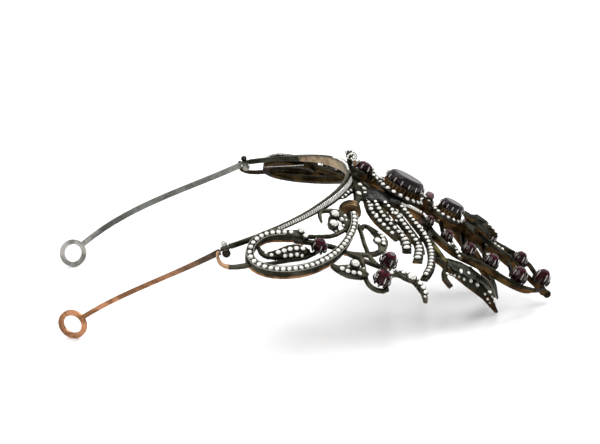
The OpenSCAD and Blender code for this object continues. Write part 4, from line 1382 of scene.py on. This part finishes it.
# %% [markdown]
# Thin dark beds fill the gaps between the feathers, where the photograph shows metal, and two
# gilt ones run out from beside the large oval.

# %% Beds of the feathers
BED_AB = [(9, 0.080, 0.1, 1.0), (12.8, 0.115, 0.2, 2.6), (18.1, 0.169, 0.2, 2.6), (20.7, 0.223, 0.2, 2.2),
          (21.9, 0.276, 0.2, 1.8), (23, 0.333, 0.2, 1.0)]
BED_BC = [(7, 0.090, 0.1, 1.5), (11, 0.153, 0.2, 3.6), (15, 0.214, 0.2, 3.2), (17.8, 0.270, 0.2, 2.6),
          (19.6, 0.320, 0.2, 2.6), (21.2, 0.366, 0.2, 1.5)]
BED_CD = [(4, 0.160, 0.2, 3.0), (8.2, 0.215, 0.2, 3.8), (10.9, 0.267, 0.2, 3.2), (14, 0.321, 0.2, 3.0),
          (16.7, 0.375, 0.2, 3.0), (19.4, 0.420, 0.2, 2.6), (22, 0.452, 0.2, 1.2)]
SPRAY_BED = [(0, 0.20, 0.5, 4.0), (2.4, 0.255, 0.5, 6.5), (4.8, 0.310, 0.4, 6.5), (7.4, 0.360, 0.3, 5.0),
             (9.4, 0.400, 0.3, 2.5)]
strips("feather_beds", SILVER, [bed_rows(b, 0.3) for b in (BED_AB, BED_BC, BED_CD)], thick=0.8)
SLIVER_BED = [(398, 202, 2.5, 2.0), (404, 205, 4.2, 2.0), (411, 208.5, 4.6, 1.9), (418, 212, 4.2, 1.7),
              (425, 216.5, 2.0, 1.5)]
strips("spray_beds", WALL, [bed_rows(SPRAY_BED, 0.3), leaf_rows(SLIVER_BED, 0, 0.3)], thick=0.8)
print("beds", [len(bed) for bed in (BED_AB, BED_BC, BED_CD, SPRAY_BED, SLIVER_BED)])

# %% [markdown]
# These leaves are read off the photograph: the broad petal under the large oval, the top, the
# folds and the stem of the hanging leaf, and small plates on the rail, at the foot of the crest
# and beside the oval. A row of numbers is a place in the picture, the width there in millimetres
# and, for some leaves, the lift.

# %% Leaves of the crest
BLUE_PETAL = [(366.5, 200, 3), (371, 195.5, 9), (379, 195, 11.5), (387.5, 197.5, 10), (395, 201.5, 6),
              (400, 204.5, 2)]
LEAF_TOP = [(447, 263, 3), (455, 266, 6), (468, 271, 7.5), (480, 278, 7.5), (489, 288, 5), (494, 298, 1)]
LEAF_FOLD = [(474, 267, 2.0, -3.0), (482, 269, 4.0, -4.0), (488.5, 274, 5.0, -5.4), (493, 281.5, 4.4, -7.4),
             (495, 290, 3.2, -9.4), (497, 300, 1.0, -11.8)]
RAIL_TOP = [(476, 233, 1.5), (482, 237.5, 3.4), (490, 243.5, 4.2), (498, 249.5, 3.6), (504, 254.5, 1.5)]
LEAF_STEM = [(431, 240, 2), (437, 249, 3.4), (444, 259, 3.4), (450, 266, 2)]
FOOT_LEAF = [(338, 199, 1.2), (342, 196.5, 3.4), (347, 192.5, 4.4), (352, 188.5, 3.8), (357, 185.5, 2)]
ROSETTE = [(370.5, 171.5, 2.0), (374.5, 173.6, 4.6), (379, 176.8, 4.8), (384, 180.4, 3)]
RAIL_CREST = [(500, 246, 1.5), (504.5, 248, 3.6), (510, 251, 3.4), (514.5, 252.5, 1.2)]
strips("blue_petal", PETAL, [leaf_rows(BLUE_PETAL, 0.3, 1.3)], thick=0.9)
strips("leaf_tops", FLOWER, [leaf_rows(LEAF_TOP, 0.3, 1.0)], lobes=5, depth=0.22, thick=0.8)
strips("leaf_folds", FLOWER, [leaf_rows(LEAF_FOLD, 0, 1.2)], lobes=7, depth=0.30, thick=0.8)
strips("rail_tops", SILVER, [leaf_rows(RAIL_TOP, 0.1, 0.7)], lobes=7, depth=0.14, thick=0.8)
painted(leaf_mesh("rail_crest", leaf_rows(RAIL_CREST, 0.1, 0.8), 0.8, 7, 0.14), SILVER)
strips("leaf_stems", OLIVE_GOLD, [leaf_rows(LEAF_STEM, 0, 0.5)], thick=1.2)
strips("small_plates", SILVER, [leaf_rows(FOOT_LEAF, 0.1, 0.5), leaf_rows(ROSETTE, 0.2, 0.6)],
       lobes=3, depth=0.15, thick=0.9)
print("places along the hanging leaf's top and fold", len(LEAF_TOP), "and", len(LEAF_FOLD))

# %% [markdown]
# A light wire, rubbed silver with a painted highlight, marks the ridge of the leaf's fold, and a
# thicker one makes the stem of the small spur above the leaf. Both are lines through places of the
# picture, with the lift in millimetres.

# %% Ridges and small stems
LEAF_RIDGE = [(476, 274.5, -3.4), (482, 275.4, -3.8), (487, 279, -5.0), (491, 284, -6.4), (494, 290.5, -8.2),
              (496, 298, -10.4)]
SPUR_STEM = [(451, 241, 1.0), (453, 245, 0.8), (456.5, 249, 0.6), (458, 254, 0.5), (460.5, 259, 0.3)]


def picture_line(places):
    """A smooth line through (x, y, lift in mm) places of the picture, and its mirror image."""
    line = smooth_line([on_face(*p) for p in places])
    return [line, [mirror_point(p) for p in line]]


# The ridge wire is light grey: partly rubbed wear, partly a painted highlight.
dress(wires("leaf_ridges", picture_line(LEAF_RIDGE), 0.28, RUBBED_HIGHLIGHT), "dark_silver")
dress(wires("spur_stems", picture_line(SPUR_STEM), 0.75, SILVER, sides=8), "dark_silver")

# %% [markdown]
# ## The finest stones
# What is left are rows of stones smaller than two millimetres along the leaves, the rail and the
# chain. Each row is a short list of places with the stone's size.

# At the curl the rays only graze the front, which would stretch it in depth. So all of it is laid
# as far from the camera as the metal behind its middle.

# %% The curl at the middle
CURL = [(347.5, 158), (348.5, 154.5), (352, 152.6), (355.6, 154.4), (356.2, 158.4), (353.2, 160.6),
        (351.4, 158)]
CURL_MIDDLE = (350, 158)
CURL_LIFT = 6.9
TO_VIEWER = np.array([0.1, -0.8, 0.6])


def curl():
    away = np.linalg.norm(on_metal(*CURL_MIDDLE, CURL_LIFT) - EYE)
    coil = smooth_line([EYE + ray_to(x, y) * away for x, y in CURL])
    print("curl, size in mm", np.round(np.ptp(coil, axis=0) / MM, 1))
    dress(wires("curl_metal", [coil], 0.62, COLLET, sides=8), "dark_silver")
    seats = [(p - np.array([0, 0.55, 0]) * MM, TO_VIEWER, np.array([1.0, 0, 0]), 0.75) for p in coil]
    dress(set_jewels("curl_stones", seats, small_stone, DIAMOND, FULL_TURN, 8), "diamond")


curl()

# %% [markdown]
# Now that the leaves are made, the rays can meet them too. Each row is a short list of places in
# the picture, with the stone's size in millimetres.

# %% Rows of small stones
LEAVES = ("blue_petal", "feather_beds", "spray_beds", "leaf_tops", "leaf_folds", "rail_tops",
          "small_plates", "spur_stems")
metal_tree = tree_of([crest_cast, scroll_casts["near"]] + [bpy.data.objects[n] for n in LEAVES])
ROWS = {
    "oblong": [(357.6, 166.4, 1.2), (352.6, 165, 1.0), (373.6, 175, 1.4), (377, 178, 1.5),
               (381, 178, 1.4), (380, 181.5, 1.5), (384, 179.4, 1.2)],
    "star": [(424.6, 196.6, 2.4), (428.8, 200.8, 1.5)],
    "curl": [(346.4, 152.6, 1.1), (349.6, 150.8, 1.1), (352.6, 151.8, 1.0), (347.6, 155.8, 1.1),
             (351, 154.8, 1.2),
             (349.6, 158.8, 1.1)],
    "feather_foot": [(359.8, 184.8, 2.2), (364, 189, 2.2), (358.6, 193.8, 2.6), (342.5, 197.5, 1.3),
                     (345.6, 195.2, 1.5), (347.8, 192.2, 1.6), (351, 190.4, 1.5)],
    "cluster": [(341.3, 219.7, 2.4), (345, 215.6, 1.5), (346.5, 220, 1.2), (343.7, 225.6, 1.5),
                (336, 231, 1.2)],
    "scroll_end": [(291.2, 232.2, 1.9)],
    "inner_leaf": [(266, 252.6, 1.5), (271.5, 255, 1.7), (285, 256, 1.8), (291, 255.3, 1.8),
                   (297, 254.6, 1.8),
                   (302, 255.6, 1.6)],
    "hook": [(377.5, 241, 3.2)],
    "low_leaf": [(363.6, 268.5, 1.2), (349, 266.5, 1.2)],
    "chain": [(391.5, 272.6, 2.0), (397.5, 270.6, 1.6), (403.5, 272.4, 2.1), (417, 279, 1.8),
              (425, 296.5, 1.2)],
    "bed": [(372, 205, 1.4), (376.5, 214.5, 1.5), (387.5, 213.2, 1.8), (393, 213, 1.6), (396.5, 221, 1.7),
            (391, 220.5, 1.5), (400.5, 215.5, 2.2), (404.5, 206.5, 1.8), (402, 232, 1.5)],
    "leaf_edge": [(447, 273.6, 1.4), (451, 274.4, 1.3), (454.6, 275.2, 1.3), (459, 276.6, 1.4),
                  (463.8, 279, 1.7),
                  (470.4, 280.6, 2.2), (477, 284.4, 2.2), (484.8, 294, 1.4), (489.9, 292.6, 2.1),
                  (492, 297, 1.4),
                  (487.5, 299, 1.3), (493.8, 301.5, 1.3), (489.5, 303, 1.2)],
    "leaf_crest": [(460.8, 271.2, 2.0), (468.6, 273, 1.7)],
    "rail": [(483.5, 236.5, 1.7), (487.2, 239.2, 1.7), (491, 242, 1.7), (495, 245.2, 1.7),
             (498.6, 248, 1.7),
             (502, 251, 1.9)],
    "rail_side": [(486.1, 245, 1.9), (467, 237, 1.9), (451, 227.8, 1.6), (439, 220.5, 1.6)],
    "spur": [(452.3, 243.8, 1.3), (456, 248.4, 1.3), (457.4, 252, 1.4), (459.2, 255.9, 1.3)]}

SLIVERS = 9
SLIVER_START = (402, 204)
SLIVER_STEP = (2.3, 1.02)
SLIVER_LIFT = 2.25
SLIVER_ALONG = np.array([0.5, 0.55, 0.66])
SLIVER_SIZE = 1.5


def picture_steps(start, step, count):
    """Places in the picture at even steps from a start."""
    return [(start[0] + step[0] * k, start[1] + step[1] * k) for k in range(count)]


slivers = [(on_face(x, y, SLIVER_LIFT), TO_VIEWER, SLIVER_ALONG, SLIVER_SIZE)
           for x, y in picture_steps(SLIVER_START, SLIVER_STEP, SLIVERS)]
dress(set_jewels("sliver_stones", both_sides(slivers), small_stone, DIAMOND, FULL_TURN, 4), "diamond")
print("rows", len(ROWS), "and slivers", len(slivers), "on each side")

# %% [markdown]
# The far loop shows its inner face, with one thin light line along its upper edge: a painted highlight,
# drawn as a near-white wire.

# %% The painted highlight line on the far loop
FAR_START = (264, 166.8)
FAR_STEP = (5, -0.22)
FAR_PLACES = 9
far_tree = tree_of([scroll_casts["far"]])
far_hits = [met(x, y, far_tree)[0] for x, y in picture_steps(FAR_START, FAR_STEP, FAR_PLACES)]
far_line = [np.array(h) for h in far_hits if h is not None]
# A near-white wire along the loop's upper edge: a painted highlight.
dress(wires("far_light_line", [smooth_line(far_line)], 0.22, CLAW_HIGHLIGHT), "screw_silver")
print("far light line", len(far_line), "places")

# %% [markdown]
# The rail's stones sit on the middle stem, so they are moved to the middle line and dropped onto
# it. All other rows sit where the rays meet the metal, and again on the far side.

# %% Setting the rows
WELL_ABOVE = 3.0


def on_middle(seats):
    """The same seats moved to the middle line, on top of the stem there."""
    made = []
    for p, u, a, s in seats:
        share = front_numbers([p])[1][0] * math.cos(FLARE) / CREST_RISE
        above, up, climb = front_frame(0, share, WELL_ABOVE)
        top = metal_tree.ray_cast(Vector(above), Vector(-up))[0]
        made.append((np.array(top) - up * SINK * MM, up, climb, s))
    return made


for name, places in ROWS.items():
    seats = on_middle(picture_row(places, mirrored=False)) if name == "rail" else picture_row(places)
    missed = [p[:2] for p in places if met(p[0], p[1])[0] is None]
    dress(set_jewels(name + "_small_stones", seats, small_stone, DIAMOND, FULL_TURN, 4), "diamond")
    dress(set_jewels(name + "_small_rings", seats, collet_ring, COLLET), "dark_silver")
    print(name, len(seats), "stones, off the metal:", missed)

# %% [markdown]
# ## Pieces that keep their solid
# The arms, the screws and the collars already have the right shape, so they keep their solids
# and get their own finish: worn copper that darkens towards the screw on one side, grey steel
# on the other, a bright bead above a dark knob, and brown gold with rubbed ribs.

# %% Finishes of the carried solids
def finish_node(node, finish):
    obj = nodes[node]
    if not obj.material_slots:
        obj.data.materials.append(finish)
    for place in obj.material_slots:
        place.material = finish


for node, finish in (("arm_near", COPPER), ("arm_far", STEEL), ("temple_screw_near", SCREW_NEAR),
                     ("temple_screw_far", SCREW_FAR), ("collar_near", GOLD), ("collar_far", GOLD)):
    finish_node(node, finish)
    print(node, "in", finish.name)

# %% [markdown]
# ## Floor and light
# The table is white, plain and a little glossy, and runs up into the white behind. The light is
# broad and soft.

# %% Stage
HALF_TABLE = 3.0
TABLE_WHITE = (0.93, 0.935, 0.94, 1)


def make_stage():
    mesh = bpy.data.meshes.new("table_top")
    corners = [(x * HALF_TABLE, y * HALF_TABLE, 0) for x, y in ((-1, -1), (1, -1), (1, 1), (-1, 1))]
    mesh.from_pydata(corners, [], [(0, 1, 2, 3)])
    floor = link_new("table_top", mesh)
    made, tree, shader = material("white_table")
    shader.inputs["Base Color"].default_value = TABLE_WHITE
    tree.links.new(ramp(tree, noise(tree, 6.0), 0.3, 0.7, 0.16, 0.22), shader.inputs["Roughness"])
    mesh.materials.append(made)
    world = bpy.data.worlds.new("studio")
    world.use_nodes = True
    bpy.context.scene.world = world
    t = world.node_tree
    around = new_node(t, "ShaderNodeTexCoord").outputs["Generated"]
    split = new_node(t, "ShaderNodeSeparateXYZ", [("Vector", around)])
    light = ramp(t, split.outputs["Y"], -0.6, 0.2, 0.50, 1.0)
    t.links.new(light, t.nodes["Background"].inputs["Strength"])
    t.nodes["Background"].inputs["Color"].default_value = (1, 1, 1, 1)


def soft_light(name, place, aim, size, power):
    lamp = bpy.data.lights.new(name, "AREA")
    lamp.shape = "RECTANGLE"
    lamp.size, lamp.size_y = size
    lamp.energy = power
    obj = bpy.data.objects.new(name, lamp)
    bpy.context.scene.collection.objects.link(obj)
    obj.location = place
    obj.rotation_euler = (Vector(aim) - Vector(place)).to_track_quat("-Z", "Y").to_euler()


# Each light: its name, place, aim, size in metres and power in watts
LIGHTS = (("behind_right", (0.5, 0.55, 0.65), (0, 0, 0.03), (0.5, 0.5), 5.0),
          ("front_left", (-0.5, -0.6, 0.6), (0, 0, 0.03), (0.3, 0.5), 3.0),
          ("overhead", (0.1, -0.2, 1.3), (0.05, 0, 0), (1.5, 1.5), 9.0))
make_stage()
for light in LIGHTS:
    soft_light(*light)
bpy.context.scene.view_settings.view_transform = "Standard"
print("lights", len(LIGHTS))
